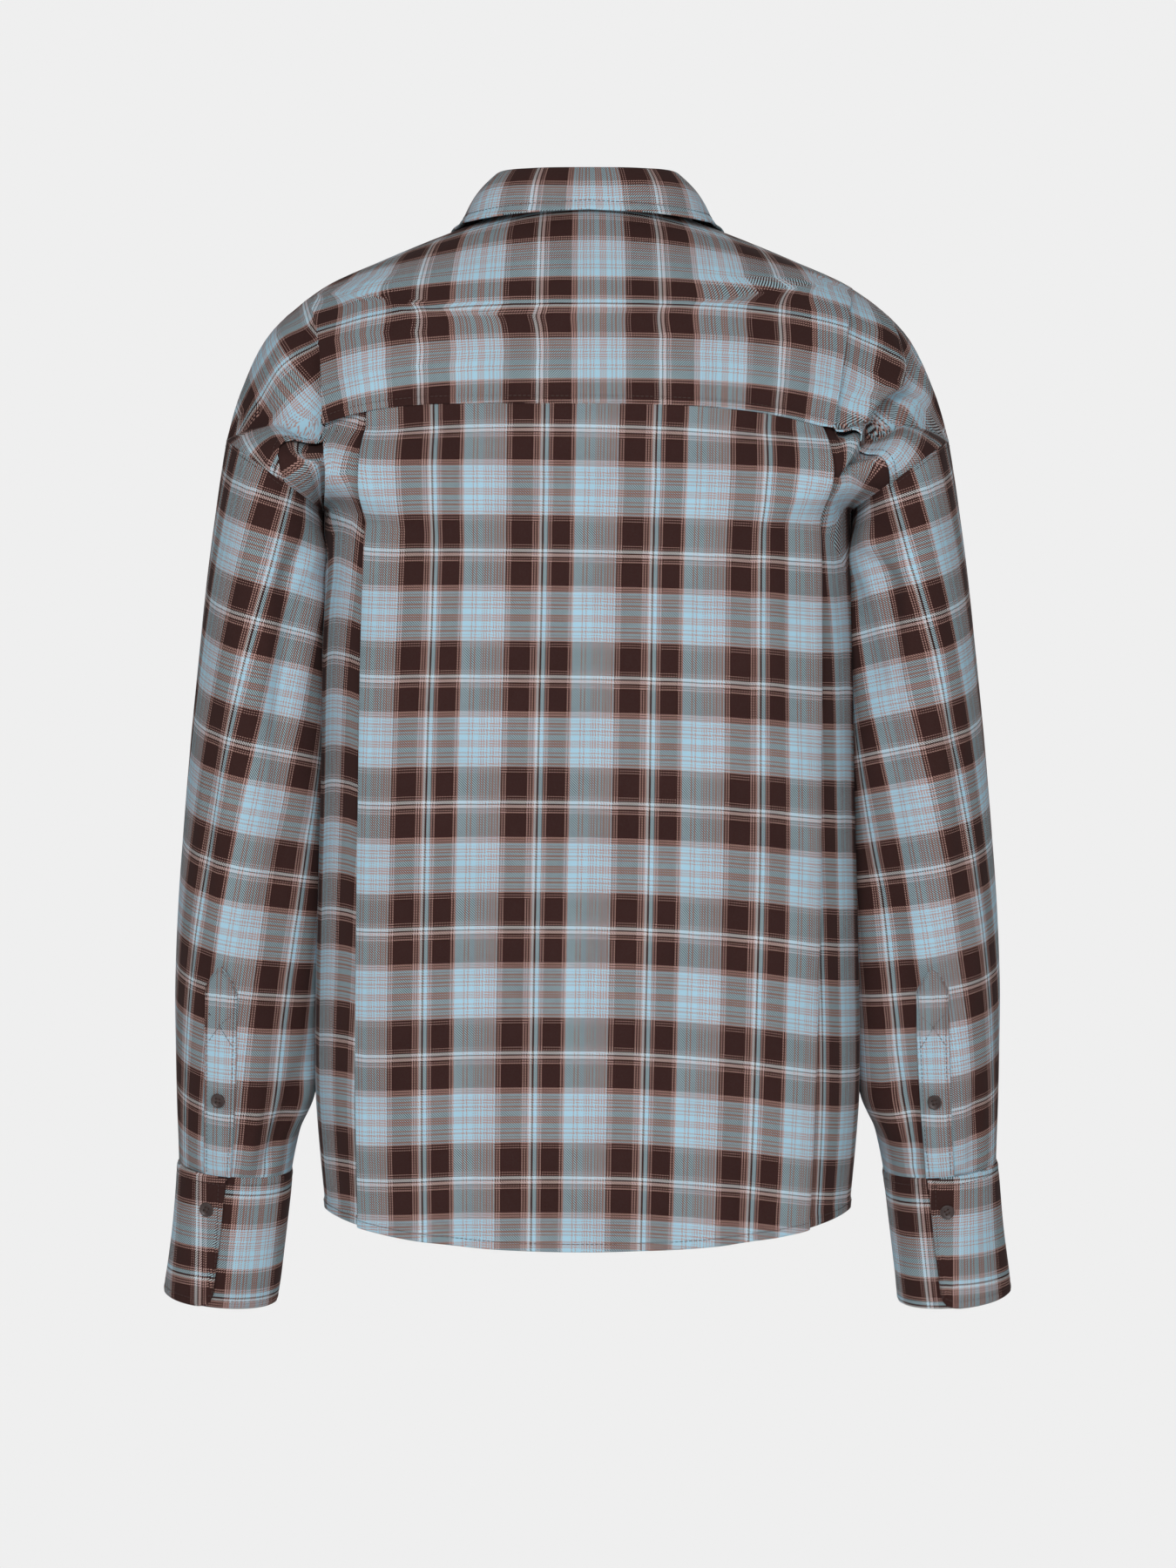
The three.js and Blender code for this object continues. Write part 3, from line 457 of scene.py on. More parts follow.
def sleevePoint(side, degrees, at, outward=0.0):
    degrees = np.asarray(degrees, float)
    at = np.asarray(at, float)
    return ringPoint(sleeveRings, side, degrees, at, outward - sleeveDepth(side, degrees, at))


# Collar.

def mirrored(table, turn):
    p = spot(table, np.abs(turn) * (len(table["x"]) - 1))
    p[..., 0] = p[..., 0] * np.where(turn < 0, -1, 1)
    return p


def neckPoint(turn):
    far = np.abs(turn)
    side = np.where(turn < 0, -1, 1)
    zero = 0 * far
    backOut = side * far / 0.5 * rowLength("back", 0)
    frontOut = side * (1 - far) / 0.5 * rowLength("front", 0)
    back = fromNet("back", "points", backOut, zero)
    front = fromNet("front", "points", frontOut, zero)
    return np.where((far < 0.5)[..., None], back, front)


def neckline():
    points = []
    facing = []
    for half in ("back", "front"):
        level, share = np.meshgrid(np.linspace(0, 5, 26), np.linspace(-1, 1, 61), indexing="ij")
        out = share * rowLength(half, level)
        points.append(bodyPoint(half, out, level).reshape(-1, 3))
        facing.append(unit(fromNet(half, "facing", out, level)).reshape(-1, 3))
    return np.concatenate(points), np.concatenate(facing)


restPoints, restFacing = neckline()


# Moves points out until they clear the nearest place of the yoke and fronts.
def restOn(p, clearance):
    flat = p.reshape(-1, 3)
    moved = flat.copy()
    for k in range(len(flat)):
        gap = flat[k] - restPoints
        n = np.argmin((gap * gap).sum(1))
        height = gap[n] @ restFacing[n]
        moved[k] = flat[k] + restFacing[n] * max(clearance - height, 0)
    return moved.reshape(p.shape)


collar = {"bulge": 3.0, "layer": 1.8, "rest": 1.4}


def collarPoint(turn, down):
    down3 = np.asarray(down)[..., None]
    p = mirrored(foldLine, turn) * (1 - down3) + mirrored(collarEdge, turn) * down3
    swell = collar["bulge"] * np.sin(np.pi * np.minimum(down * 1.15, 1))
    away = p.copy()
    away[..., 2] = 60
    return restOn(p + unit(away) * swell[..., None], collar["layer"] + collar["rest"])


print("sleeve and collar forms ready")

# Making cloth: a net of outer points becomes a thin shell with rounded edges.

fineSteps = [0, 0.5, 1.1, 1.9, 2.8, 3.7, 4.4, 5.0, 5.6, 6.3, 7.2, 8.6]


# Shares along a length in mm, closer together at sewn ends.
def spacing(length, step, start=True, end=True):
    low = fineSteps[-1] if start else 0
    high = length - (fineSteps[-1] if end else 0)
    count = max(int(round((high - low) / step)), 2)
    values = list(np.linspace(low, high, count + 1))
    if start:
        values = fineSteps[:-1] + values
    if end:
        values = values + [length - s for s in reversed(fineSteps[:-1])]
    return np.array(values) / length


def gridFacing(points, closed=False):
    if closed:
        wide = np.concatenate([points[:, -1:], points, points[:, :1]], axis=1)
        across = (wide[:, 2:] - wide[:, :-2]) / 2
    else:
        across = np.gradient(points, axis=1)
    down = np.gradient(points, axis=0)
    return unit(np.cross(down, across))


# Distances in mm along the net to its top, bottom, start and end.
def edgeDistances(points):
    run = np.linalg.norm(np.diff(points, axis=0), axis=-1)
    top = np.concatenate([0 * run[:1], np.cumsum(run, axis=0)])
    run = np.linalg.norm(np.diff(points, axis=1), axis=-1)
    start = np.concatenate([0 * run[:, :1], np.cumsum(run, axis=1)], axis=1)
    return top, top[-1:] - top, start, start[:, -1:] - start


# The raised fold of a sewn edge, with the dent of its stitch line.
def welt(distance, width, height):
    raised = height * (1 - ramp(width, width + 1.4, distance))
    dent = 0.45 * height * bump(distance - (width - 1.0), 0.9)
    return raised - dent


def picked(count, step, always=()):
    chosen = set(range(0, count, step)) | {count - 1} | set(always)
    return np.array(sorted(chosen))


# The flat cut of a net, in mm: Blender unwraps a coarse copy and the fine net follows it.
def flatten(points, rowStep=8, columnStep=8, keepColumns=()):
    rows = picked(points.shape[0], rowStep)
    columns = picked(points.shape[1], columnStep, keepColumns)
    coarse = points[np.ix_(rows, columns)]
    high, wide = len(rows), len(columns)
    index = np.arange(high * wide).reshape(high, wide)
    faces = np.stack([index[:-1, :-1], index[1:, :-1], index[1:, 1:], index[:-1, 1:]], -1)
    mesh = bpy.data.meshes.new("flat")
    mesh.from_pydata((coarse.reshape(-1, 3) / 1000).tolist(), [], faces.reshape(-1, 4).tolist())
    mesh.uv_layers.new(name="flat")
    helper = bpy.data.objects.new("flat", mesh)
    bpy.context.scene.collection.objects.link(helper)
    bpy.ops.object.select_all(action="DESELECT")
    bpy.context.view_layer.objects.active = helper
    helper.select_set(True)
    bpy.ops.object.mode_set(mode="EDIT")
    bpy.ops.mesh.select_all(action="SELECT")
    bpy.ops.uv.unwrap(method="MINIMUM_STRETCH", iterations=24, fill_holes=False, margin=0)
    bpy.ops.object.mode_set(mode="OBJECT")
    loops = len(mesh.loops)
    uv = np.zeros(loops * 2)
    mesh.uv_layers["flat"].data.foreach_get("uv", uv)
    corner = np.zeros(loops, int)
    mesh.loops.foreach_get("vertex_index", corner)
    flat = np.zeros((high * wide, 2))
    flat[corner] = uv.reshape(-1, 2)
    bpy.data.objects.remove(helper)
    bpy.data.meshes.remove(mesh)
    flat = flat.reshape(high, wide, 2)
    real = quadArea(coarse)
    flat = flat * math.sqrt(real / quadArea(np.concatenate([flat, 0 * flat[..., :1]], -1)))
    fine = np.zeros(points.shape[:2] + (2,))
    between = np.zeros((high, points.shape[1], 2))
    top, _, start, _ = edgeDistances(points)
    for k in range(2):
        for i in range(high):
            run = start[rows[i]]
            between[i, :, k] = np.interp(run, run[columns], flat[i, :, k])
        for j in range(points.shape[1]):
            run = top[:, j]
            fine[:, j, k] = np.interp(run, run[rows], between[:, j, k])
    return fine


def quadArea(points):
    one = np.cross(points[1:, 1:] - points[:-1, :-1], points[1:, :-1] - points[:-1, 1:])
    return np.linalg.norm(one, axis=-1).sum() / 2


# The warp and weft of the check, as colours and thread counts, and where their pale squares lie.
warpWidth = 0.425  # mm from one thread to the next
weftWidth = 0.425
warpSett = [
    ("brown", 33), ("rose", 2), ("brown", 2), ("rose", 2), ("brown", 2), ("rose", 2), ("white", 5),
    ("brown", 3), ("blue", 6), ("brown", 1), ("rose", 2), ("brown", 2), ("rose", 2), ("brown", 29),
    ("rose", 2), ("brown", 2), ("rose", 2), ("brown", 1), ("blue", 14), ("rose", 2), ("blue", 3),
    ("rose", 2), ("blue", 9), ("rose", 2), ("blue", 2), ("rose", 2), ("blue", 2), ("rose", 2),
    ("blue", 3), ("rose", 2), ("blue", 4), ("rose", 2), ("blue", 2), ("rose", 2), ("blue", 3),
    ("rose", 2), ("blue", 2), ("rose", 2), ("blue", 2), ("rose", 2), ("brown", 2), ("rose", 2),
    ("brown", 2), ("rose", 2), ("brown", 1),
]
weftSett = [
    ("rose", 2), ("brown", 2), ("rose", 2), ("brown", 2), ("rose", 2), ("brown", 37), ("rose", 2),
    ("brown", 2), ("rose", 2), ("brown", 2), ("white", 5), ("brown", 2), ("pink", 5), ("brown", 2),
    ("rose", 2), ("brown", 2), ("rose", 2), ("brown", 38), ("rose", 2), ("brown", 2), ("rose", 2),
    ("brown", 2), ("rose", 2), ("blue", 3), ("rose", 2), ("blue", 3), ("rose", 2), ("blue", 3),
    ("rose", 2), ("blue", 4), ("rose", 2), ("blue", 4), ("rose", 2), ("blue", 9), ("rose", 2),
    ("blue", 2), ("rose", 2), ("blue", 2), ("rose", 2), ("blue", 9), ("rose", 2), ("blue", 4),
    ("rose", 2), ("blue", 4), ("rose", 2), ("blue", 3), ("rose", 2), ("blue", 3),
]
warpRepeat = sum(count for _, count in warpSett)
weftRepeat = sum(count for _, count in weftSett)
warpPale = 132.5  # the thread at the middle of the pale stretch
weftPale = 168
print("check of", warpRepeat, "by", weftRepeat, "threads")


# Places a piece's flat cut on the checked cloth: turned to the grain, with a pale square at one place.
# The place is where the photograph shows it, as mm right and up from the collar's seam at the back.
def layOnCheck(points, flat, pale, crossGrain=False, turn=0.0, grainAt=None):
    seen = seenFromBack(points)
    rows, columns = points.shape[:2]
    i, j = grainAt or (rows // 2, columns // 2)
    low = flat[min(i + 6, rows - 1), j] - flat[max(i - 6, 0), j]
    spin = -math.pi / 2 - math.atan2(low[1], low[0])
    c, s = math.cos(spin), math.sin(spin)
    u = flat[..., 0] * c - flat[..., 1] * s
    v = flat[..., 0] * s + flat[..., 1] * c
    right = u[i, min(j + 6, columns - 1)] - u[i, max(j - 6, 0)]
    if right < 0:
        u = -u
    laid = np.stack([u, v], -1)
    laid[..., 0] *= pathLength(points[i]) / pathLength(laid[i])
    laid[..., 1] *= pathLength(points[:, j]) / pathLength(laid[:, j])
    laid = turnedBy(laid, math.radians(turn))
    gap = np.hypot(seen[..., 0] - pale[0], seen[..., 1] - pale[1])
    n = np.unravel_index(np.argmin(gap), gap.shape)
    laid = laid - laid[n] + seen[n] - np.array(pale)
    return onPaleSquare(laid, crossGrain)


# Turns places on the cloth so that the rows of the check run at an angle, anticlockwise.
def turnedBy(away, angle):
    x = away[..., 0] * math.cos(angle) + away[..., 1] * math.sin(angle)
    y = away[..., 1] * math.cos(angle) - away[..., 0] * math.sin(angle)
    return np.stack([x, y], -1)


def pathLength(line):
    return np.linalg.norm(np.diff(line, axis=0), axis=-1).sum()


# From mm right and up of a pale square to places on the checked cloth.
def onPaleSquare(away, crossGrain):
    if crossGrain:
        away = np.stack([away[..., 1], -away[..., 0]], -1)
    return away + np.array([warpPale * warpWidth, -weftPale * weftWidth])


# The direction on the flat cloth of what runs at an angle in the photograph's view, at one place.
def angleOnCloth(flat, seen, at, degrees):
    rows, columns = seen.shape[:2]
    i, j = at
    low, high = max(i - 4, 0), min(i + 4, rows - 1)
    left, right = max(j - 3, 0), min(j + 3, columns - 1)
    seenSteps = np.stack([seen[high, j] - seen[low, j], seen[i, right] - seen[i, left]], -1)
    flatSteps = np.stack([flat[high, j] - flat[low, j], flat[i, right] - flat[i, left]], -1)
    a = math.radians(degrees)
    way = flatSteps @ np.linalg.solve(seenSteps, np.array([math.cos(a), math.sin(a)]))
    return math.atan2(way[1], way[0])


# Turns the checks past a fold of the shoulder; flat holds mm right and up on the cloth.
def turnPastFold(uv, flat, seen, smooth, key, out, level, endKey=None):
    fold = shoulderFolds[key]
    past, _ = pastFold(key, out, level)
    inside = (past > 0.2) & (out * fold["side"] > 0)
    if endKey:
        inside = inside & (pastFold(endKey, out, level)[0] <= 0.2)
    gap = np.hypot(seen[..., 0] - fold["pale"][0], seen[..., 1] - fold["pale"][1])
    gap = np.where(inside, gap, 1e6)
    n = np.unravel_index(np.argmin(gap), gap.shape)
    away = flat - flat[n] + seen[n] - np.array(fold["pale"])
    away = turnedBy(away, angleOnCloth(flat, smooth, n, fold["turn"]))
    turnedUv = onPaleSquare(away, True)
    return np.where(inside[..., None], turnedUv, uv)


def makeShell(name, points, uv, thickness, closed=False):
    rows, columns = points.shape[:2]
    facing = gridFacing(points, closed)
    thick = np.broadcast_to(np.asarray(thickness, float), (rows, columns))[..., None]
    inner = points - facing * thick
    verts = [points.reshape(-1, 3), inner.reshape(-1, 3)]
    layerSize = rows * columns
    index = np.arange(layerSize).reshape(rows, columns)
    mapIndex = np.arange(rows * uv.shape[1]).reshape(rows, uv.shape[1])
    if closed:
        index = np.concatenate([index, index[:, :1]], axis=1)
    uvFlat = uv.reshape(-1, 2)

    def quads(grid):
        corners = [grid[:-1, :-1], grid[1:, :-1], grid[1:, 1:], grid[:-1, 1:]]
        return np.stack(corners, -1).reshape(-1, 4)

    faces = [quads(index), quads(index)[:, ::-1] + layerSize]
    maps = [quads(mapIndex), quads(mapIndex)[:, ::-1]]
    rims = [("top", index[0], mapIndex[0], 0, 1, True), ("bottom", index[-1], mapIndex[-1], -1, -2, False)]
    for _, line, mapLine, edge, next_, ahead in rims:
        near = points[edge] - points[next_]
        away = unit(near) * thick[edge] * 0.4
        verts.append((points[edge] + inner[edge]) / 2 + away)
        start = sum(len(v) for v in verts[:-1])
        rim = start + np.arange(columns)
        if closed:
            rim = np.concatenate([rim, rim[:1]])
        faces += rimFaces(line, rim, line + layerSize, ahead)
        maps += rimFaces(mapLine, mapLine, mapLine, ahead)
    if not closed:
        ends = {}
        for key, j, near, ahead in (("start", 0, 1, False), ("end", -1, -2, True)):
            away = unit(points[:, j] - points[:, near]) * thick[:, j] * 0.4
            verts.append((points[:, j] + inner[:, j]) / 2 + away)
            start = sum(len(v) for v in verts[:-1])
            rim = start + np.arange(rows)
            ends[key] = rim
            faces += rimFaces(index[:, j], rim, index[:, j] + layerSize, ahead)
            maps += rimFaces(mapIndex[:, j], mapIndex[:, j], mapIndex[:, j], ahead)
        topRim = layerSize * 2 + np.arange(columns)
        bottomRim = topRim + columns
        for i, rim in ((0, topRim), (rows - 1, bottomRim)):
            for key, j in (("start", 0), ("end", columns - 1)):
                for base in (0, layerSize):
                    corner = [rim[j], index[i, j] + base, ends[key][i]]
                    ahead = (i == 0) == (key == "start")
                    if ahead != (base == 0):
                        corner.reverse()
                    faces.append(np.array([corner + [corner[-1]]]))
                    maps.append(np.full((1, 4), mapIndex[i, j]))
    allVerts = np.concatenate(verts) / 1000
    allFaces = np.concatenate(faces)
    allMaps = np.concatenate(maps)
    return meshObject(name, allVerts, allFaces, uvFlat[allMaps] / 1000)


def rimFaces(outerLine, rim, innerLine, ahead):
    made = []
    for a, b in ((outerLine, rim), (rim, innerLine)):
        quad = np.stack([a[:-1], a[1:], b[1:], b[:-1]], -1)
        made.append(quad if ahead else quad[:, ::-1])
    return made


# Makes a mesh from quads; a quad whose last two corners are the same is a triangle.
def meshObject(name, verts, quads, cornerUv=None):
    triangle = quads[:, 3] == quads[:, 2]
    sizes = np.where(triangle, 3, 4)
    keep = np.ones(quads.shape, bool)
    keep[triangle, 3] = False
    corners = quads[keep]
    mesh = bpy.data.meshes.new(name)
    mesh.vertices.add(len(verts))
    mesh.vertices.foreach_set("co", np.ascontiguousarray(verts, np.float32).ravel())
    mesh.loops.add(len(corners))
    mesh.loops.foreach_set("vertex_index", corners.astype(np.int32))
    mesh.polygons.add(len(quads))
    starts = np.concatenate([[0], np.cumsum(sizes)[:-1]]).astype(np.int32)
    mesh.polygons.foreach_set("loop_start", starts)
    mesh.polygons.foreach_set("use_smooth", np.ones(len(quads), bool))
    if cornerUv is not None:
        layer = mesh.uv_layers.new(name="clothMap")
        layer.data.foreach_set("uv", cornerUv[keep].astype(np.float32).ravel())
    mesh.update(calc_edges=True)
    mesh.validate()
    made = bpy.data.objects.new(name, mesh)
    bpy.context.scene.collection.objects.link(made)
    return made


hem = {"width": 5.5, "height": 0.8, "doubled": 0.6}
cloth = {"body": 1.0, "single": 0.9, "strip": 1.3, "collar": 1.8, "cuff": 2.2}
surfaces = {}  # each piece's outer net, for the stitches that lie on it


def addSurface(name, points, closed=False):
    surfaces[name] = {"points": points, "facing": gridFacing(points, closed)}


def declare(piece, nodes, uv, cutSize=None):
    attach(piece, "root")
    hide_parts(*nodes)
    flat = uv / 1000
    area = quadArea(np.concatenate([flat, 0 * flat[..., :1]], -1))
    span = flat.reshape(-1, 2).max(0) - flat.reshape(-1, 2).min(0)
    size = cutSize or (round(float(span[0]), 3), round(float(span[1]), 3))
    area = min(area, size[0] * size[1])


# The yoke: from the neck over both shoulders to its seam, which laps the back panel.

yoke = {"pale": fromPixel(555, 412), "lap": 0.07, "weltWidth": 6, "weltHeight": 0.7}


nearFold = [-3.2, -2.2, -1.3, -0.5, 0.0, 0.5, 1.1, 1.8, 2.5, 3.2]


# Places in mm between keys that go outward. A plan has (key, how, value): a share of the way to the
# next key, or a small distance from a fold.
def betweenKeys(keys, plan):
    room = []
    for k in range(len(keys)):
        sides = [keys[n + 1] - keys[n] for n in (k - 1, k) if 0 <= n < len(keys) - 1]
        room.append(np.minimum(4.0, 0.35 * np.min(sides, axis=0)))
    folds = {k for k, how, _ in plan if how == "near"}
    places = []
    for k, how, value in plan:
        if how == "near":
            places.append(keys[k] + value * room[k] / 4)
            continue
        low = keys[k] + (room[k] if k in folds else 0)
        high = keys[k + 1] - (room[k + 1] if k + 1 in folds else 0)
        places.append(low + (high - low) * value)
    return places


def foldPlace(key, level):
    fold = shoulderFolds[key]
    return np.interp(level, foldLevels, fold["shares"]) * rowLength("back", level)


yokePlan = [(0, "share", f) for f in spacing(52, 2.6, end=False)]
yokePlan += [(1, "near", d) for d in nearFold]
yokePlan += [(1, "share", f) for f in np.linspace(0, 1, 64)[:-1]]
yokePlan += [(2, "share", f) for f in np.linspace(0, 1, 60)]
yokePlan += [(3, "near", d) for d in nearFold]
yokePlan += [(3, "share", f) for f in np.linspace(0, 1, 14)]
yokePlan += [(4, "near", d) for d in nearFold]
yokePlan += [(4, "share", f) for f in spacing(40, 2.6, start=False)]


def makeYoke():
    down = spacing(150, 2.6)
    out = np.zeros((len(down), len(yokePlan)))
    level = out.copy()
    for i in range(len(down)):
        now = down[i] * 5.5 + np.zeros(len(yokePlan))
        for _ in range(16):
            length = rowLength("back", now)
            left = -np.minimum(foldPlace("left", now), length - 6)
            tuck = np.minimum(foldPlace("tuck", now), length - 12)
            roll = np.clip(foldPlace("roll", now), tuck + 5, length - 5)
            places = betweenKeys([-length, left, 0 * now, tuck, roll, length], yokePlan)
            here = np.array([places[j][j] for j in range(len(yokePlan))])
            now = (now + down[i] * (yokeLevel(here / length) + yoke["lap"])) / 2
        out[i] = here
        level[i] = now
    plain = fromNet("back", "points", out, level)
    points = bodyPoint("back", out, level, -0.5 * ramp(0.8, 0.92, down)[:, None])
    _, bottom, start, end = edgeDistances(points)
    facing = gridFacing(points)
    calm = (1 - pastShoulderFold(out, level))[..., None]
    points = points + facing * welt(bottom, yoke["weltWidth"], yoke["weltHeight"])[..., None] * calm
    points = points + facing * (0.5 * welt(np.minimum(start, end), 6, 0.7))[..., None]
    flat = flatten(plain)
    middle = [k for k, _, _ in yokePlan].index(2)
    grain = (len(down) // 2, middle)
    uv = layOnCheck(plain, flat, yoke["pale"], crossGrain=True, grainAt=grain)
    cut = np.stack([-uv[..., 1], uv[..., 0]], -1)
    seen = seenFromBack(points)
    smooth = seenFromBack(plain)
    uv = turnPastFold(uv, cut, seen, smooth, "left", out, level)
    uv = turnPastFold(uv, cut, seen, smooth, "tuck", out, level, "roll")
    uv = turnPastFold(uv, cut, seen, smooth, "roll", out, level)
    piece = makeShell("yokePiece", points, uv, cloth["body"])
    declare(piece, ["yoke"], uv)
    addSurface("yoke", points)
    return piece


# The back panel with its two pleats, which fold outward under the middle.

backPanel = {"pale": fromPixel(681, 712), "stripRise": 12, "bowLeft": 8, "bowRight": 13}
pleat = {"depthAtYoke": 20, "depthAtHem": 7, "layerDrop": 2.4, "middleMargin": 26}
pleatFold = {"left": [156, 158, 160, 164, 166], "right": [166, 170, 171, 166, 158]}


# Distance out and drop inward of one step across a pleat, from the panel round to the strip.
def pleatStep(fold, depth, number):
    drop = pleat["layerDrop"]
    bend = drop / 2
    if number < 2:
        return fold - pleat["middleMargin"] + (pleat["middleMargin"] - 9) * number, 0 * fold
    if number < 9:
        a = math.radians((number - 2) * 30)
        return fold - bend + bend * math.sin(a), bend - bend * math.cos(a) + 0 * fold
    if number == 9:
        return fold - depth / 2, drop + 0 * fold
    if number < 17:
        a = math.radians((number - 10) * 180 / 7)
        return fold - depth + bend - bend * math.sin(a), drop + bend - bend * math.cos(a) + 0 * fold
    share = (number - 16) / 2
    start = fold - depth + bend
    return start + (fold + 5 - start) * share, 2 * drop + 0 * fold


pleatStepCount = 19


stripPlan = [(0, "share", f) for f in np.linspace(0, 1, 7)[1:-1]]
stripPlan += [(1, "near", d) for d in nearFold]
stripPlan += [(1, "share", f) for f in spacing(60, 3.0, start=False)]


def backColumns():
    strip = [("strip", n) for n in range(len(stripPlan))]
    right = [("pleat", n) for n in range(pleatStepCount)] + strip
    left = [(kind, value, "left", -1) for kind, value in reversed(right)]
    middle = [("middle", m, "middle", 0) for m in np.linspace(0, 1, 84)[1:-1]]
    return left + middle + [(kind, value, "right", 1) for kind, value in right]


def backPlace(column_, level):
    kind, value, key, side = column_
    down = np.clip((level - 5) / (hemLevel - 5), 0, 1)
    depth = pleat["depthAtYoke"] + (pleat["depthAtHem"] - pleat["depthAtYoke"]) * down
    knots = np.arange(5) / 4
    if kind == "middle":
        left = -np.interp(down, knots, pleatFold["left"]) + pleat["middleMargin"]
        right = np.interp(down, knots, pleatFold["right"]) - pleat["middleMargin"]
        return left + (right - left) * value, 0 * level
    fold = np.interp(down, knots, pleatFold[key])
    if kind == "pleat":
        out, drop = pleatStep(fold, depth, value)
        return out * side, drop
    start, drop = pleatStep(fold, depth, pleatStepCount - 1)
    length = rowLength("back", level)
    ridge = foldPlace("left" if side < 0 else "roll", level)
    ridge = np.clip(ridge, start + 6, length - 12)
    out = betweenKeys([start, ridge, length], stripPlan)[value]
    return out * side, drop * (1 - (out - start) / (length - start))


def makeBackPanel():
    columns = backColumns()
    sample = np.linspace(0, 1, 60)
    line = bodyPoint("back", 0 * sample + 60, 5.6 + (hemLevel - 5.6) * sample)
    run = np.concatenate([[0], np.cumsum(np.linalg.norm(np.diff(line, axis=0), axis=-1))])
    shares = spacing(run[-1], 3.6)
    f = np.interp(shares, run / run[-1], sample)
    level = np.zeros((len(f), len(columns)))
    points = np.zeros((len(f), len(columns), 3))
    for j, item in enumerate(columns):
        now = yokeEnd + (hemLevel - yokeEnd) * f
        for _ in range(14):
            out, drop = backPlace(item, now)
            share = out / rowLength("back", now)
            now = (now + (yokeLevel(share) - 0.12) * (1 - f) + hemLevel * f) / 2
        points[:, j] = bodyPoint("back", out, now, drop + 0.5 * (1 - ramp(0.0, 0.03, f)))
        level[:, j] = now
    folds = [k for k, item in enumerate(columns) if item[0] == "pleat"]
    flat = flatten(points, 10, 9, folds)
    uv = layOnCheck(points, flat, backPanel["pale"])
    lifted = np.clip((folds[pleatStepCount - 1] - np.arange(len(columns))) / pleatStepCount, 0, 1)
    uv[..., 1] = uv[..., 1] - backPanel["stripRise"] * lifted[None, :]
    share = points[..., 0] / 170
    bow = np.where(share < 0, backPanel["bowLeft"], backPanel["bowRight"]) * share ** 2
    uv[..., 1] = uv[..., 1] + bow * ramp(9, 14, level)  # the rows hang lower at the sides
    _, bottom, _, _ = edgeDistances(points)
    raised = welt(bottom, hem["width"], hem["height"])
    points = points + gridFacing(points) * raised[..., None]
    piece = makeShell("backPanel", points, uv, cloth["body"] + hem["doubled"] * (raised > 0.2))
    declare(piece, ["back_panel"], uv)
    addSurface("back", points)
    return piece


# The fronts, and the button band down the right one.

fronts = {"underlap": 2.0, "bandWidth": 30, "bandLift": 1.55, "pale": (40, -300), "paleLeft": (-60, -300)}


def makeFront(name, node, side):
    sample = np.linspace(0, hemLevel, 90)
    line = bodyPoint("front", 0 * sample + 60 * side, sample)
    run = np.concatenate([[0], np.cumsum(np.linalg.norm(np.diff(line, axis=0), axis=-1))])
    level = np.interp(spacing(run[-1], 3.8), run / run[-1], sample)[:, None]
    across = spacing(230, 3.6)[None, :]
    length = rowLength("front", level)
    openEdge = np.minimum(fronts["bandWidth"] / 2, length / 3)
    out = -openEdge + (length + openEdge) * across
    under = 0 * out
    if side < 0:
        under = fronts["underlap"] * (1 - ramp(openEdge * 1.2, openEdge * 2.2, out))
    points = bodyPoint("front", out * side, level, under)
    if side > 0:
        points = points[:, ::-1]
    _, bottom, _, _ = edgeDistances(points)
    raised = welt(bottom, hem["width"], hem["height"])
    points = points + gridFacing(points) * raised[..., None]
    flat = flatten(points)
    pale = fronts["pale"] if side > 0 else fronts["paleLeft"]
    uv = layOnCheck(points, flat, pale)
    piece = makeShell(name, points, uv, cloth["body"] + hem["doubled"] * (raised > 0.2))
    declare(piece, [node], uv)
    addSurface(name, points)
    return piece


def makeBand():
    sample = np.linspace(0.06, hemLevel, 90)
    line = bodyPoint("front", 0 * sample, sample)
    run = np.concatenate([[0], np.cumsum(np.linalg.norm(np.diff(line, axis=0), axis=-1))])
    level = np.interp(spacing(run[-1], 3.8), run / run[-1], sample)[:, None]
    across = np.linspace(0, 1, 25)[None, :]
    half = np.minimum(fronts["bandWidth"] / 2, rowLength("front", level) / 3)
    out = half * (1 - 2 * across) * 0.985
    points = bodyPoint("front", out, level, -fronts["bandLift"])
    _, _, start, end = edgeDistances(points)
    edge = np.minimum(start, end)
    raised = 0.5 * ramp(0, 1.6, edge) - 0.45 * bump(edge - 4.5, 1.0)
    points = points + gridFacing(points) * raised[..., None]
    flat = flatten(points, 8, 6)
    uv = layOnCheck(points, flat, (0, -300))
    piece = makeShell("buttonBand", points, uv, cloth["strip"])
    declare(piece, ["front_band"], uv)
    addSurface("band", points)
    return piece


# Sleeves, with their pointed plackets and cuffs. Degrees 0 is outside, 90 back, 180 inside.

sleeves = {
    "right": {"pale": fromPixel(1050, 587), "turn": 9},
    "left": {"pale": fromPixel(299, 587), "turn": -9},
}
openings = {"right": {"cuff": 105, "placket": 107}, "left": {"cuff": 85, "placket": 89}}
placket = {"degreesWide": 27, "ringsLong": 4.34, "peak": 0.26, "lift": 2.1, "buttonRings": 2.4}
cuff = {
    "around": 250, "depth": 93, "lap": 22, "corner": 13, "lift": 0.6, "lapLift": 3.2,
    "buttonDegreesIn": 15, "buttonRing": 0.56,
}


# Degrees of the columns, from the underarm seam round by the back on the left arm, and the
# other way on the right, so that every net faces out.
def turned(side, share):
    return 180 + 360 * (1 - share) if side > 0 else 180 + 360 * share


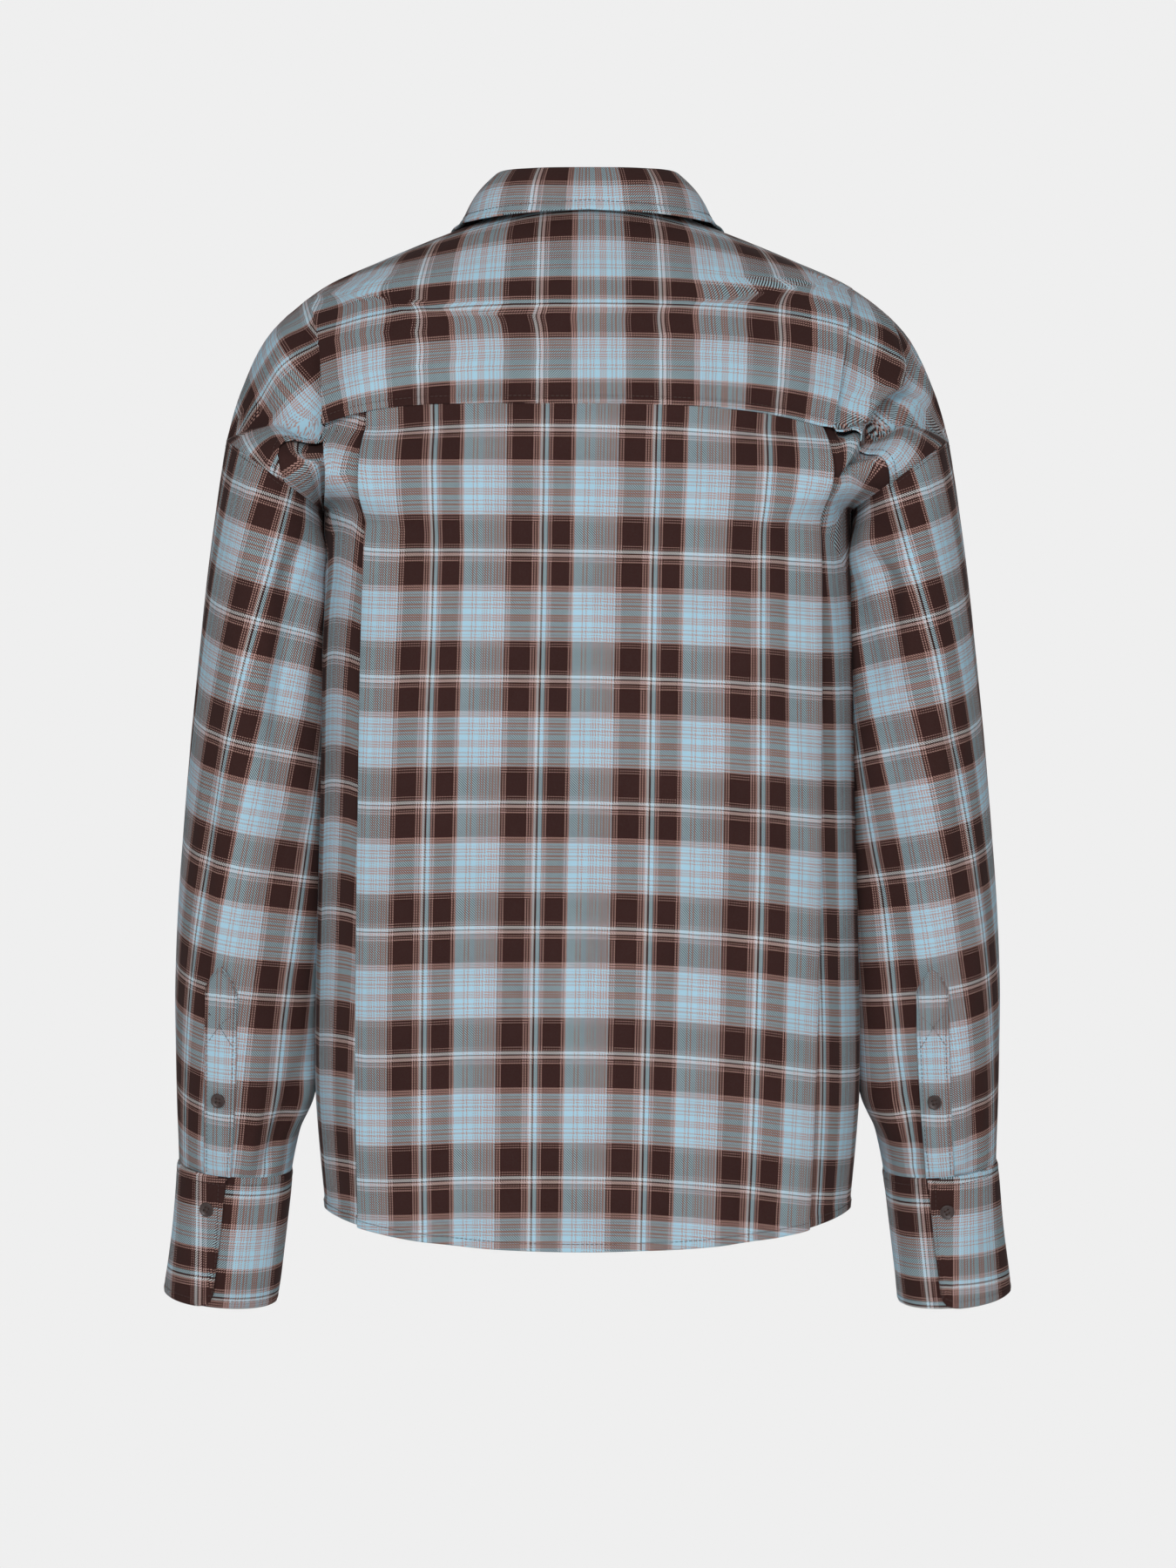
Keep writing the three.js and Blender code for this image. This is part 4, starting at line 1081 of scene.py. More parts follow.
def makeSleeve(key, side):
    last = len(sleeveRings["x"]) - 1
    at = (spacing(485, 3.6) * last)[:, None]
    count = 112
    share = (np.arange(count) / count)[None, :]
    degrees = turned(side, share) % 360
    at = at + 0 * degrees
    points = sleevePoint(side, degrees + 0 * at, at)
    closedPoints = np.concatenate([points, points[:, :1]], axis=1)
    flat = flatten(closedPoints, 7, 7)
    back = int(np.argmin(np.abs(degrees[0] - 90)))
    how = sleeves[key]
    uv = layOnCheck(closedPoints, flat, how["pale"], turn=how["turn"], grainAt=(70, back))
    piece = makeShell("sleeveTube_" + key, points, uv, cloth["body"], closed=True)
    declare(piece, ["sleeve_" + key], uv)
    addSurface("sleeve_" + key, closedPoints)
    return piece


def makeCuff(key, side):
    last = len(cuffRings["x"]) - 1
    length = cuff["around"] + cuff["lap"]
    down = spacing(cuff["depth"], 3.0)[:, None]
    across = spacing(length, 2.6)[None, :]
    run = across if side > 0 else 1 - across
    degrees = openings[key]["cuff"] - run * length * 360 / cuff["around"]
    fromEnd = np.minimum(run, 1 - run) * length
    inset = np.maximum(cuff["corner"] - fromEnd, 0)
    rise = cuff["corner"] - np.sqrt(cuff["corner"] ** 2 - inset ** 2)
    lift = cuff["lapLift"] * (1 - ramp(0.04, 0.22, run)) + cuff["lift"]
    at = down * last * (1 - rise / cuff["depth"])
    points = ringPoint(cuffRings, side, degrees + 0 * at, at, lift)
    top, bottom, start, end = edgeDistances(points)
    edge = np.minimum(np.minimum(top, bottom), np.minimum(start, end))
    soft = 0.5 * ramp(0, 2.4, edge) - 0.5 * bump(edge - 5, 1.1)
    wave = 0.5 * np.sin(run * 23 + side) * ramp(0, 20, edge)
    points = points + gridFacing(points) * (soft + wave)[..., None]
    flat = flatten(points, 6, 6)
    back = int(np.argmin(np.abs(degrees[0] % 360 - 90)))
    uv = layOnCheck(points, flat, cuffs[key]["pale"], crossGrain=True, grainAt=(12, back))
    piece = makeShell("cuff_" + key + "_cloth", points, uv, cloth["cuff"])
    declare(piece, ["cuff_" + key], uv)
    addSurface("cuff_" + key, points)
    return piece


cuffs = {"right": {"pale": fromPixel(1110, 1400)}, "left": {"pale": fromPixel(290, 1400)}}


def makePlacket(key, side):
    last = len(sleeveRings["x"]) - 1
    down = spacing(190, 2.6, end=False)[:, None]
    across = np.linspace(0, 1, 25)[None, :]
    share = across if side > 0 else 1 - across
    slope = placket["peak"] * (1 - down) ** 6 * np.abs(2 * share - 1) ** 1.5
    at = last - 0.06 - placket["ringsLong"] * (1 - down) + slope
    degrees = openings[key]["placket"] - placket["degreesWide"] * share
    points = sleevePoint(side, degrees + 0 * at, at, placket["lift"])
    top, _, start, end = edgeDistances(points)
    edge = np.minimum(top, np.minimum(start, end))
    raised = 0.4 * ramp(0, 1.6, edge) - 0.4 * bump(edge - 2.4, 0.9)
    points = points + gridFacing(points) * raised[..., None]
    flat = flatten(points, 6, 6)
    uv = layOnCheck(points, flat, plackets[key]["pale"])
    piece = makeShell("placket_" + key, points, uv, cloth["single"])
    declare(piece, ["sleeve_placket_" + key], uv)
    addSurface("placket_" + key, points)
    return piece


plackets = {"right": {"pale": fromPixel(1072, 1220)}, "left": {"pale": fromPixel(258, 1220)}}

# The collar rolls over at its fold from the stand, which rises from the neck seam.

collarCloth = {"pale": fromPixel(691, 235), "roll": 1.75}


def collarFrame(turn):
    near = collarPoint(turn, 0 * turn)
    along = collarPoint(turn + 0.01, 0 * turn) - collarPoint(turn - 0.01, 0 * turn)
    fall = collarPoint(turn, 0 * turn + 1 / 6) - near
    return near, unit(np.cross(fall, along)), unit(-fall)


def makeCollar():
    turn = spacing(470, 2.6) * 2 - 1
    down = spacing(64, 2.6, start=False)
    leaf = collarPoint(*np.broadcast_arrays(turn[None, :], down[:, None]))
    near, face, rise = collarFrame(turn)
    bend = np.radians(np.linspace(165, 15, 9))[:, None, None]
    roll = near - face * collarCloth["roll"] * (1 - np.cos(bend))
    roll = roll + rise * collarCloth["roll"] * np.sin(bend)
    points = np.concatenate([roll, leaf])
    _, bottom, start, end = edgeDistances(points)
    edge = np.minimum(bottom, np.minimum(start, end))
    raised = 0.35 * ramp(0, 2, edge) - 0.4 * bump(edge - 6, 1.1)
    leafOnly = np.concatenate([0 * roll[..., 0], 1 + 0 * leaf[..., 0]])
    points = points + gridFacing(points) * (raised * leafOnly)[..., None]
    flat = flatten(points, 5, 8)
    uv = layOnCheck(points, flat, collarCloth["pale"], crossGrain=True, grainAt=(22, points.shape[1] // 2))
    piece = makeShell("collarLeaf", points, uv, cloth["collar"])
    declare(piece, ["collar"], uv)
    addSurface("collar", points)
    return piece


def makeStand():
    turn = spacing(440, 3.0) * 1.97 - 0.985
    near, face, _ = collarFrame(turn)
    high = near - face * (cloth["collar"] + 0.3)
    low = neckPoint(turn)
    low[..., 2] += 0.6
    down = spacing(36, 3.0)[:, None, None]
    points = high * (1 - down) + low * down
    flat = flatten(points, 5, 8)
    uv = layOnCheck(points, flat, fromPixel(681, 230), crossGrain=True)
    piece = makeShell("standCloth", points, uv, 1.4)
    declare(piece, ["collar_stand"], uv)
    addSurface("stand", points)
    return piece


yokePiece = makeYoke()
backPiece = makeBackPanel()
print("yoke and back panel made")
frontPieces = [makeFront("frontRight", "front_right", 1), makeFront("frontLeft", "front_left", -1)]
bandPiece = makeBand()
print("fronts made")
sleevePieces = [makeSleeve("right", 1), makeSleeve("left", -1)]
placketPieces = [makePlacket("right", 1), makePlacket("left", -1)]
cuffPieces = [makeCuff("right", 1), makeCuff("left", -1)]
print("sleeves made")
collarPieces = [makeCollar(), makeStand()]
print("collar made")
clothPieces = [yokePiece, backPiece, bandPiece] + frontPieces + sleevePieces
clothPieces += placketPieces + cuffPieces + collarPieces

# Topstitching: short rods of thread that lie on the cloth along its edges, joined to one piece each.

thread = {"step": 3.2, "length": 2.3, "radius": 0.24, "rise": 0.1, "firstAt": 1.5}
fromEdge = {"armhole": 3.5, "yoke": 5.0, "hem": 5.0, "band": 4.5, "collar": 6.0, "cuff": 5.0, "placket": 2.4}


# The line on a surface at a distance in mm from one of its edges.
def lineAt(name, edge, distance):
    surface = surfaces[name]
    points, facing = surface["points"], surface["facing"]
    away = dict(zip(("top", "bottom", "start", "end"), edgeDistances(points)))[edge]
    if edge in ("top", "bottom"):
        points, facing, away = (np.swapaxes(a, 0, 1) for a in (points, facing, away))
    if edge in ("bottom", "end"):
        points, facing, away = points[:, ::-1], facing[:, ::-1], away[:, ::-1]
    line = np.zeros((len(points), 6))
    for n in range(len(points)):
        for k in range(3):
            line[n, k] = np.interp(distance, away[n], points[n, :, k])
            line[n, 3 + k] = np.interp(distance, away[n], facing[n, :, k])
    return line


# Two lines across a surface between two shares of its rows and columns, for a stitched cross.
def crossAt(name, rowShares, columnShares):
    surface = surfaces[name]
    rows, columns = surface["points"].shape[:2]
    lines = []
    for turn in (1, -1):
        t = np.linspace(0, 1, 25)
        i = (rowShares[0] + (rowShares[1] - rowShares[0]) * t) * (rows - 1)
        j = (columnShares[0] + (columnShares[1] - columnShares[0]) * t[::turn]) * (columns - 1)
        i0, j0 = i.astype(int), j.astype(int)
        fi, fj = (i - i0)[:, None], (j - j0)[:, None]
        both = np.concatenate([surface["points"], surface["facing"]], axis=-1)
        lines.append(both[i0, j0] * (1 - fi) * (1 - fj) + both[i0 + 1, j0] * fi * (1 - fj)
                     + both[i0, j0 + 1] * (1 - fi) * fj + both[i0 + 1, j0 + 1] * fi * fj)
    return lines


# Rods from starts to ends in mm, six-sided with pointed ends.
def rods(starts, ends, facing, radius):
    way = unit(ends - starts)
    up = unit(facing - way * (facing * way).sum(-1, keepdims=True))
    across = np.cross(way, up)
    inset = way * radius
    a = np.arange(6) * math.pi / 3
    ring = radius * (up[:, None] * np.cos(a)[None, :, None] + across[:, None] * np.sin(a)[None, :, None])
    verts = np.concatenate([
        starts[:, None], (starts + inset)[:, None] + ring, (ends - inset)[:, None] + ring, ends[:, None],
    ], axis=1)
    n = np.arange(6)
    m = (n + 1) % 6
    first = np.stack([0 * n, 1 + m, 1 + n, 1 + n], -1)
    side = np.stack([1 + n, 1 + m, 7 + m, 7 + n], -1)
    last = np.stack([0 * n + 13, 7 + n, 7 + m, 7 + m], -1)
    quads = np.concatenate([first, side, last])[None] + (np.arange(len(starts)) * 14)[:, None, None]
    return verts.reshape(-1, 3) / 1000, quads.reshape(-1, 4)


def sew(name, lines):
    starts, ends, ups = [], [], []
    for line in lines:
        run = np.concatenate([[0], np.cumsum(np.linalg.norm(np.diff(line[:, :3], axis=0), axis=-1))])
        places = np.arange(thread["firstAt"], run[-1] - thread["length"], thread["step"])
        for store, offset in ((starts, 0), (ends, thread["length"])):
            at = [np.interp(places + offset, run, line[:, k]) for k in range(6)]
            up = unit(np.stack(at[3:], -1))
            store.append(np.stack(at[:3], -1) + up * thread["rise"])
            if offset == 0:
                ups.append(up)
    parts = [np.concatenate(part) for part in (starts, ends, ups)]
    verts, quads = rods(*parts, thread["radius"])
    piece = meshObject(name, verts, quads)
    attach(piece, "root")
    return piece


def makeStitches():
    made = []
    armholes = [lineAt("sleeve_" + key, "top", fromEdge["armhole"]) for key in ("right", "left")]
    made.append(sew("stitchesYoke", [lineAt("yoke", "bottom", fromEdge["yoke"])]))
    made.append(sew("stitchesArmholes", armholes))
    hems = [lineAt(name, "bottom", fromEdge["hem"]) for name in ("back", "frontRight", "frontLeft")]
    made.append(sew("stitchesHem", hems))
    band = [lineAt("band", edge, fromEdge["band"]) for edge in ("start", "end")]
    made.append(sew("stitchesBand", band))
    leaf = [lineAt("collar", edge, fromEdge["collar"]) for edge in ("bottom", "start", "end")]
    made.append(sew("stitchesCollar", leaf))
    for key in ("right", "left"):
        edges = ("top", "bottom", "start", "end")
        around = [lineAt("cuff_" + key, edge, fromEdge["cuff"]) for edge in edges]
        made.append(sew("stitchesCuff_" + key, around))
        name = "placket_" + key
        strip = [lineAt(name, edge, fromEdge["placket"]) for edge in ("top", "start", "end")]
        strip += crossAt(name, (0.2, 0.31), (0.1, 0.9))
        made.append(sew("stitchesPlacket_" + key, strip))
    return made


stitchPieces = makeStitches()
print("stitches made")

# Buttons: one turned disc with a raised rim and four holes, set where the solids have them.

button = {
    "radius": 5.1, "thickness": 2.2, "holeRadius": 0.75, "holeSpread": 1.25, "sides": 56,
    "gap": 0.35, "firstFront": -92, "frontApart": 87, "onSleeve": 2.45, "onCuff": 3.8,
    "thread": 0.26, "threadsApart": 0.44, "threadUnder": -0.6,
}


def lathe(name, profile, sides):
    verts = []
    faces = []
    for n in range(sides):
        a = 2 * math.pi * n / sides
        verts += [(x * math.cos(a), x * math.sin(a), z) for x, z in profile]
    size = len(profile)
    for n in range(sides):
        for k in range(size - 1):
            a, b = n * size + k, (n + 1) % sides * size + k
            faces.append((a, b, b + 1, a + 1))
    mesh = bpy.data.meshes.new(name)
    mesh.from_pydata(verts, [], faces)
    made = bpy.data.objects.new(name, mesh)
    bpy.context.scene.collection.objects.link(made)
    solid = bmesh.new()
    solid.from_mesh(mesh)
    bmesh.ops.remove_doubles(solid, verts=solid.verts, dist=0.000001)
    bmesh.ops.recalc_face_normals(solid, faces=solid.faces)
    solid.to_mesh(mesh)
    solid.free()
    return made


def applyModifiers(piece):
    graph = bpy.context.evaluated_depsgraph_get()
    mesh = bpy.data.meshes.new_from_object(piece.evaluated_get(graph))
    piece.modifiers.clear()
    old = piece.data
    piece.data = mesh
    bpy.data.meshes.remove(old)


def makeButtonMesh():
    r = button["radius"] / 1000
    h = button["thickness"] / 1000
    profile = [(0.0, 0.0), (r * 0.7, 0.0), (r * 0.88, h * 0.14), (r * 0.97, h * 0.38)]
    profile += [(r, h * 0.6), (r * 0.985, h * 0.82), (r * 0.94, h * 0.96), (r * 0.88, h)]
    profile += [(r * 0.8, h * 0.97), (r * 0.74, h * 0.86), (r * 0.66, h * 0.72), (r * 0.5, h * 0.66)]
    profile += [(r * 0.25, h * 0.64), (0.0, h * 0.635)]
    disc = lathe("buttonDisc", profile, button["sides"])
    hole = button["holeRadius"] / 1000
    for n in range(4):
        a = math.radians(45 + 90 * n)
        drill = lathe("drill", [(0.0, -0.002), (hole, -0.002), (hole, 0.004), (0.0, 0.004)], 16)
        reach = button["holeSpread"] * math.sqrt(2) / 1000
        drill.data.transform(Matrix.Translation((reach * math.cos(a), reach * math.sin(a), 0)))
        cut = disc.modifiers.new("hole", "BOOLEAN")
        cut.object = drill
        cut.operation = "DIFFERENCE"
        cut.solver = "EXACT"
        applyModifiers(disc)
        bpy.data.objects.remove(drill)
    bevel = disc.modifiers.new("edge", "BEVEL")
    bevel.width = 0.00015
    bevel.segments = 2
    bevel.limit_method = "ANGLE"
    bevel.angle_limit = math.radians(50)
    applyModifiers(disc)
    for face in disc.data.polygons:
        face.use_smooth = True
    mesh = disc.data
    bpy.data.objects.remove(disc)
    return mesh


buttonMesh = makeButtonMesh()
buttonPieces = []
buttonSpots = []


def addButton(name, node, place, facing, spin):
    mesh = buttonMesh.copy()
    piece = bpy.data.objects.new(name, mesh)
    bpy.context.scene.collection.objects.link(piece)
    turn = Vector(facing).to_track_quat("Z", "Y").to_matrix().to_4x4()
    turn = turn @ Matrix.Rotation(math.radians(spin), 4, "Z")
    at = Matrix.Translation(Vector((place + facing * button["gap"]) / 1000))
    mesh.transform(at @ turn)
    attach(piece, "root")
    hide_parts(node)
    buttonPieces.append(piece)
    buttonSpots.append(at @ turn)


def frontLevelAt(z):
    sample = np.linspace(0, hemLevel, 2000)
    return float(np.interp(-z, -column(frontRows, "z", sample), sample))


def makeButtons():
    for n in range(7):
        level = np.array(frontLevelAt(button["firstFront"] - button["frontApart"] * n))
        facing = unit(fromNet("front", "facing", 0 * level, level))
        place = bodyPoint("front", 0 * level, level, -fronts["bandLift"])
        addButton(f"frontButton{n + 1}", f"front_button_{n + 1}", place, facing, 7 * n - 20)
    for key, side in (("right", 1), ("left", -1)):
        last = len(sleeveRings["x"]) - 1
        middle = openings[key]["placket"] - placket["degreesWide"] / 2
        onSleeve = lambda d, a: sleevePoint(side, np.array(d), np.array(a), button["onSleeve"])
        onCuff = lambda d, a: ringPoint(cuffRings, side, np.array(d), np.array(a), button["onCuff"])
        place, facing = faceOf(side, onSleeve, middle, last - placket["buttonRings"])
        addButton(f"placketButton_{key}", f"placket_button_{key}", place, facing, 12 * side)
        cuffMiddle = openings[key]["cuff"] - cuff["buttonDegreesIn"]
        place, facing = faceOf(side, onCuff, cuffMiddle, cuff["buttonRing"])
        addButton(f"cuffButton_{key}", f"cuff_button_{key}", place, facing, 30 * side)


def faceOf(side, surface, degrees, at):
    around = surface(degrees - 2.0, at) - surface(degrees + 2.0, at)
    down = surface(degrees, at + 0.05) - surface(degrees, at - 0.05)
    return surface(degrees, at), unit(np.cross(down, around) * side)


# Two bars of thread across the holes of each button, and down through them.
def makeButtonThread():
    starts, ends, ups = [], [], []
    reach = button["holeSpread"]
    top = button["thickness"] * 0.66
    for place in buttonSpots:
        up = np.array(place.to_3x3() @ Vector((0, 0, 1)))
        for side in (-1, 1):
            for shift in (-button["threadsApart"] / 2, button["threadsApart"] / 2):
                bar = [(-reach, side * reach + shift, top), (reach, side * reach + shift, top)]
                below = [(x, y, button["threadUnder"]) for x, y, _ in bar]
                for a, b in ((bar[0], bar[1]), (below[0], bar[0]), (below[1], bar[1])):
                    starts.append(np.array(place @ (Vector(a) / 1000)) * 1000)
                    ends.append(np.array(place @ (Vector(b) / 1000)) * 1000)
                    ups.append(up if a[2] == b[2] else np.array(place.to_3x3() @ Vector((1, 0, 0))))
    verts, quads = rods(np.array(starts), np.array(ends), np.array(ups), button["thread"])
    piece = meshObject("buttonThread", verts, quads)
    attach(piece, "root")
    return piece


makeButtons()
stitchPieces.append(makeButtonThread())
print("buttons made")

# Finishes. Colours are linear light.

colours = {
    "brown": (0.035, 0.016, 0.015),
    "rose": (0.41, 0.27, 0.25),
    "blue": (0.36, 0.57, 0.69),
    "white": (0.53, 0.60, 0.65),
    "pink": (0.55, 0.45, 0.45),
}


# Painted shade and tint: a thread that crosses over a brown one is multiplied by this warm grey, partly
# painted shade between the threads and partly the brown beneath showing through.
crossingShadeAndTint = (1.0, 0.88, 0.80)  # what a brown thread beneath does to the one above


def node(tree, kind, **settings):
    made = tree.nodes.new(kind)
    for key, value in settings.items():
        setattr(made, key, value)
    return made


def mathNode(tree, operation, a, b=None):
    made = node(tree, "ShaderNodeMath", operation=operation)
    for n, value in enumerate((a, b)):
        if value is None:
            continue
        if isinstance(value, (int, float)):
            made.inputs[n].default_value = value
        else:
            tree.links.new(value, made.inputs[n])
    return made.outputs[0]


def mixColour(tree, factor, a, b, blend="MIX"):
    made = node(tree, "ShaderNodeMix", data_type="RGBA", blend_type=blend)
    for socket, value in ((made.inputs[0], factor), (made.inputs[6], a), (made.inputs[7], b)):
        if hasattr(value, "links"):
            tree.links.new(value, socket)
        else:
            socket.default_value = value if isinstance(value, (int, float)) else (*value, 1)
    return made.outputs[2]


# The colour of one thread from its place in the repeat, by ramps of up to 30 stripes each.
def stripes(tree, thread, sett):
    repeat = sum(count for _, count in sett)
    at = mathNode(tree, "FRACT", mathNode(tree, "DIVIDE", mathNode(tree, "ADD", thread, 0.5), repeat))
    start = 0
    result = None
    for first in range(0, len(sett), 28):
        ramp_ = node(tree, "ShaderNodeValToRGB")
        ramp_.color_ramp.interpolation = "CONSTANT"
        chunkStart = start
        stops = []
        for name, count in sett[first:first + 28]:
            stops.append((start / repeat, colours[name]))
            start += count
        while len(ramp_.color_ramp.elements) < len(stops):
            ramp_.color_ramp.elements.new(0.5)
        for element, (position, colour) in zip(ramp_.color_ramp.elements, stops):
            element.position = position
            element.color = (*colour, 1)
        tree.links.new(at, ramp_.inputs[0])
        if result is None:
            result = ramp_.outputs[0]
        else:
            past = mathNode(tree, "GREATER_THAN", at, chunkStart / repeat)
            result = mixColour(tree, past, result, ramp_.outputs[0])
    return result


# The check: each thread's colour, and a two by two twill that brings warp or weft to the face. A thread that
# lies over a brown one gets painted shade and some of the brown's colour.
def makeCheckGroup():
    tree = bpy.data.node_groups.new("checkedTwill", "ShaderNodeTree")
    tree.interface.new_socket("Place", in_out="INPUT", socket_type="NodeSocketVector")
    tree.interface.new_socket("Color", in_out="OUTPUT", socket_type="NodeSocketColor")
    tree.interface.new_socket("Height", in_out="OUTPUT", socket_type="NodeSocketFloat")
    incoming = node(tree, "NodeGroupInput")
    outgoing = node(tree, "NodeGroupOutput")
    apart = node(tree, "ShaderNodeSeparateXYZ")
    tree.links.new(incoming.outputs["Place"], apart.inputs[0])
    u = mathNode(tree, "DIVIDE", apart.outputs[0], warpWidth / 1000)
    v = mathNode(tree, "DIVIDE", apart.outputs[1], -weftWidth / 1000)
    warp = mathNode(tree, "FLOOR", u)
    weft = mathNode(tree, "FLOOR", v)
    warpColour = stripes(tree, warp, warpSett)
    weftColour = stripes(tree, weft, weftSett)
    twill = mathNode(tree, "DIVIDE", mathNode(tree, "SUBTRACT", warp, weft), 4)
    face = mathNode(tree, "LESS_THAN", mathNode(tree, "FRACT", twill), 0.5)
    top = mixColour(tree, face, weftColour, warpColour)
    under = mixColour(tree, face, warpColour, weftColour)
    # Painted shade: where the thread beneath is brown, the face thread is multiplied darker and browner,
    # partly painted shade and partly the brown showing through.
    dark = mathNode(tree, "LESS_THAN", under, 0.1)
    shadedAndTinted = mixColour(tree, dark, top, crossingShadeAndTint, "MULTIPLY")
    tree.links.new(shadedAndTinted, outgoing.inputs["Color"])
    across = mathNode(tree, "PINGPONG", u, 0.5)
    along = mathNode(tree, "PINGPONG", v, 0.5)
    mixed = node(tree, "ShaderNodeMix", data_type="FLOAT")
    tree.links.new(face, mixed.inputs[0])
    tree.links.new(along, mixed.inputs[2])
    tree.links.new(across, mixed.inputs[3])
    tree.links.new(mixed.outputs[0], outgoing.inputs["Height"])
    return tree


checkGroup = makeCheckGroup()
flannel = {"fuzzScale": 900, "fuzz": 0.03, "shadeScale": 26, "bump": 0.00012}


def makeFlannel():
    material = bpy.data.materials.new("checkedFlannel")
    material.use_nodes = True
    tree = material.node_tree
    shader = tree.nodes["Principled BSDF"]
    shader.inputs["Sheen Weight"].default_value = 0.02
    shader.inputs["Sheen Roughness"].default_value = 0.55
    shader.inputs["Specular IOR Level"].default_value = 0.1
    place = node(tree, "ShaderNodeUVMap", uv_map="clothMap")
    check = node(tree, "ShaderNodeGroup", node_tree=checkGroup)
    tree.links.new(place.outputs[0], check.inputs["Place"])
    spotNode = node(tree, "ShaderNodeTexCoord")
    fuzz = node(tree, "ShaderNodeTexNoise")
    fuzz.inputs["Scale"].default_value = flannel["fuzzScale"]
    fuzz.inputs["Detail"].default_value = 3
    tree.links.new(spotNode.outputs["Object"], fuzz.inputs["Vector"])
    shade = node(tree, "ShaderNodeTexNoise")
    shade.inputs["Scale"].default_value = flannel["shadeScale"]
    shade.inputs["Detail"].default_value = 4
    tree.links.new(spotNode.outputs["Object"], shade.inputs["Vector"])
    nap = mathNode(tree, "MULTIPLY", mathNode(tree, "SUBTRACT", fuzz.outputs[0], 0.35), flannel["fuzz"])
    nap = mathNode(tree, "MAXIMUM", nap, 0.0)
    napped = mixColour(tree, nap, check.outputs["Color"], (0.36, 0.37, 0.40))
    tone = node(tree, "ShaderNodeMapRange")
    tone.inputs["From Min"].default_value = 0.3
    tone.inputs["From Max"].default_value = 0.7
    tone.inputs["To Min"].default_value = 0.93
    tone.inputs["To Max"].default_value = 1.05
    tree.links.new(shade.outputs[0], tone.inputs["Value"])
    toned = node(tree, "ShaderNodeVectorMath", operation="SCALE")
    tree.links.new(napped, toned.inputs[0])
    tree.links.new(tone.outputs[0], toned.inputs["Scale"])
    tree.links.new(toned.outputs[0], shader.inputs["Base Color"])
    rough = node(tree, "ShaderNodeMapRange")
    rough.inputs["To Min"].default_value = 0.82
    rough.inputs["To Max"].default_value = 0.98
    tree.links.new(fuzz.outputs[0], rough.inputs["Value"])
    tree.links.new(rough.outputs[0], shader.inputs["Roughness"])
    height = mathNode(tree, "ADD", check.outputs["Height"], fuzz.outputs[0])
    bump_ = node(tree, "ShaderNodeBump")
    bump_.inputs["Strength"].default_value = 0.5
    bump_.inputs["Distance"].default_value = flannel["bump"]
    tree.links.new(height, bump_.inputs["Height"])
    tree.links.new(bump_.outputs[0], shader.inputs["Normal"])
    return material


def makeThreadFinish():
    material = bpy.data.materials.new("brownThread")
    material.use_nodes = True
    tree = material.node_tree
    shader = tree.nodes["Principled BSDF"]
    shader.inputs["Specular IOR Level"].default_value = 0.25
    place = node(tree, "ShaderNodeTexCoord")
    twist = node(tree, "ShaderNodeTexNoise")
    twist.inputs["Scale"].default_value = 1400
    tree.links.new(place.outputs["Object"], twist.inputs["Vector"])
    colour = mixColour(tree, twist.outputs[0], (0.030, 0.016, 0.014), (0.085, 0.052, 0.045))
    tree.links.new(colour, shader.inputs["Base Color"])
    rough = node(tree, "ShaderNodeMapRange")
    rough.inputs["To Min"].default_value = 0.6
    rough.inputs["To Max"].default_value = 0.85
    tree.links.new(twist.outputs[0], rough.inputs["Value"])
    tree.links.new(rough.outputs[0], shader.inputs["Roughness"])
    return material


def makeButtonFinish():
    material = bpy.data.materials.new("brownButton")
    material.use_nodes = True
    tree = material.node_tree
    shader = tree.nodes["Principled BSDF"]
    shader.inputs["Specular IOR Level"].default_value = 0.5
    place = node(tree, "ShaderNodeTexCoord")
    cloud = node(tree, "ShaderNodeTexNoise")
    cloud.inputs["Scale"].default_value = 240
    cloud.inputs["Detail"].default_value = 3
    tree.links.new(place.outputs["Object"], cloud.inputs["Vector"])
    colour = mixColour(tree, cloud.outputs[0], (0.020, 0.012, 0.011), (0.065, 0.042, 0.038))
    tree.links.new(colour, shader.inputs["Base Color"])
    rough = node(tree, "ShaderNodeMapRange")
    rough.inputs["To Min"].default_value = 0.28
    rough.inputs["To Max"].default_value = 0.5
    tree.links.new(cloud.outputs[0], rough.inputs["Value"])
    tree.links.new(rough.outputs[0], shader.inputs["Roughness"])
    return material


def dress(piece, material):
    piece.data.materials.clear()
    piece.data.materials.append(material)


flannelCloth = makeFlannel()
buttonFinish = makeButtonFinish()
for piece in clothPieces:
    dress(piece, flannelCloth)
for piece in buttonPieces:
    dress(piece, buttonFinish)
threadFinish = makeThreadFinish()
for piece in stitchPieces:
    dress(piece, threadFinish)
print("finishes made")

# The studio: a round pale floor, an even pale background from every side, soft lights, the camera.

studio = {"floorZ": -1.45, "radius": 3.9, "background": 0.863, "air": 0.3}


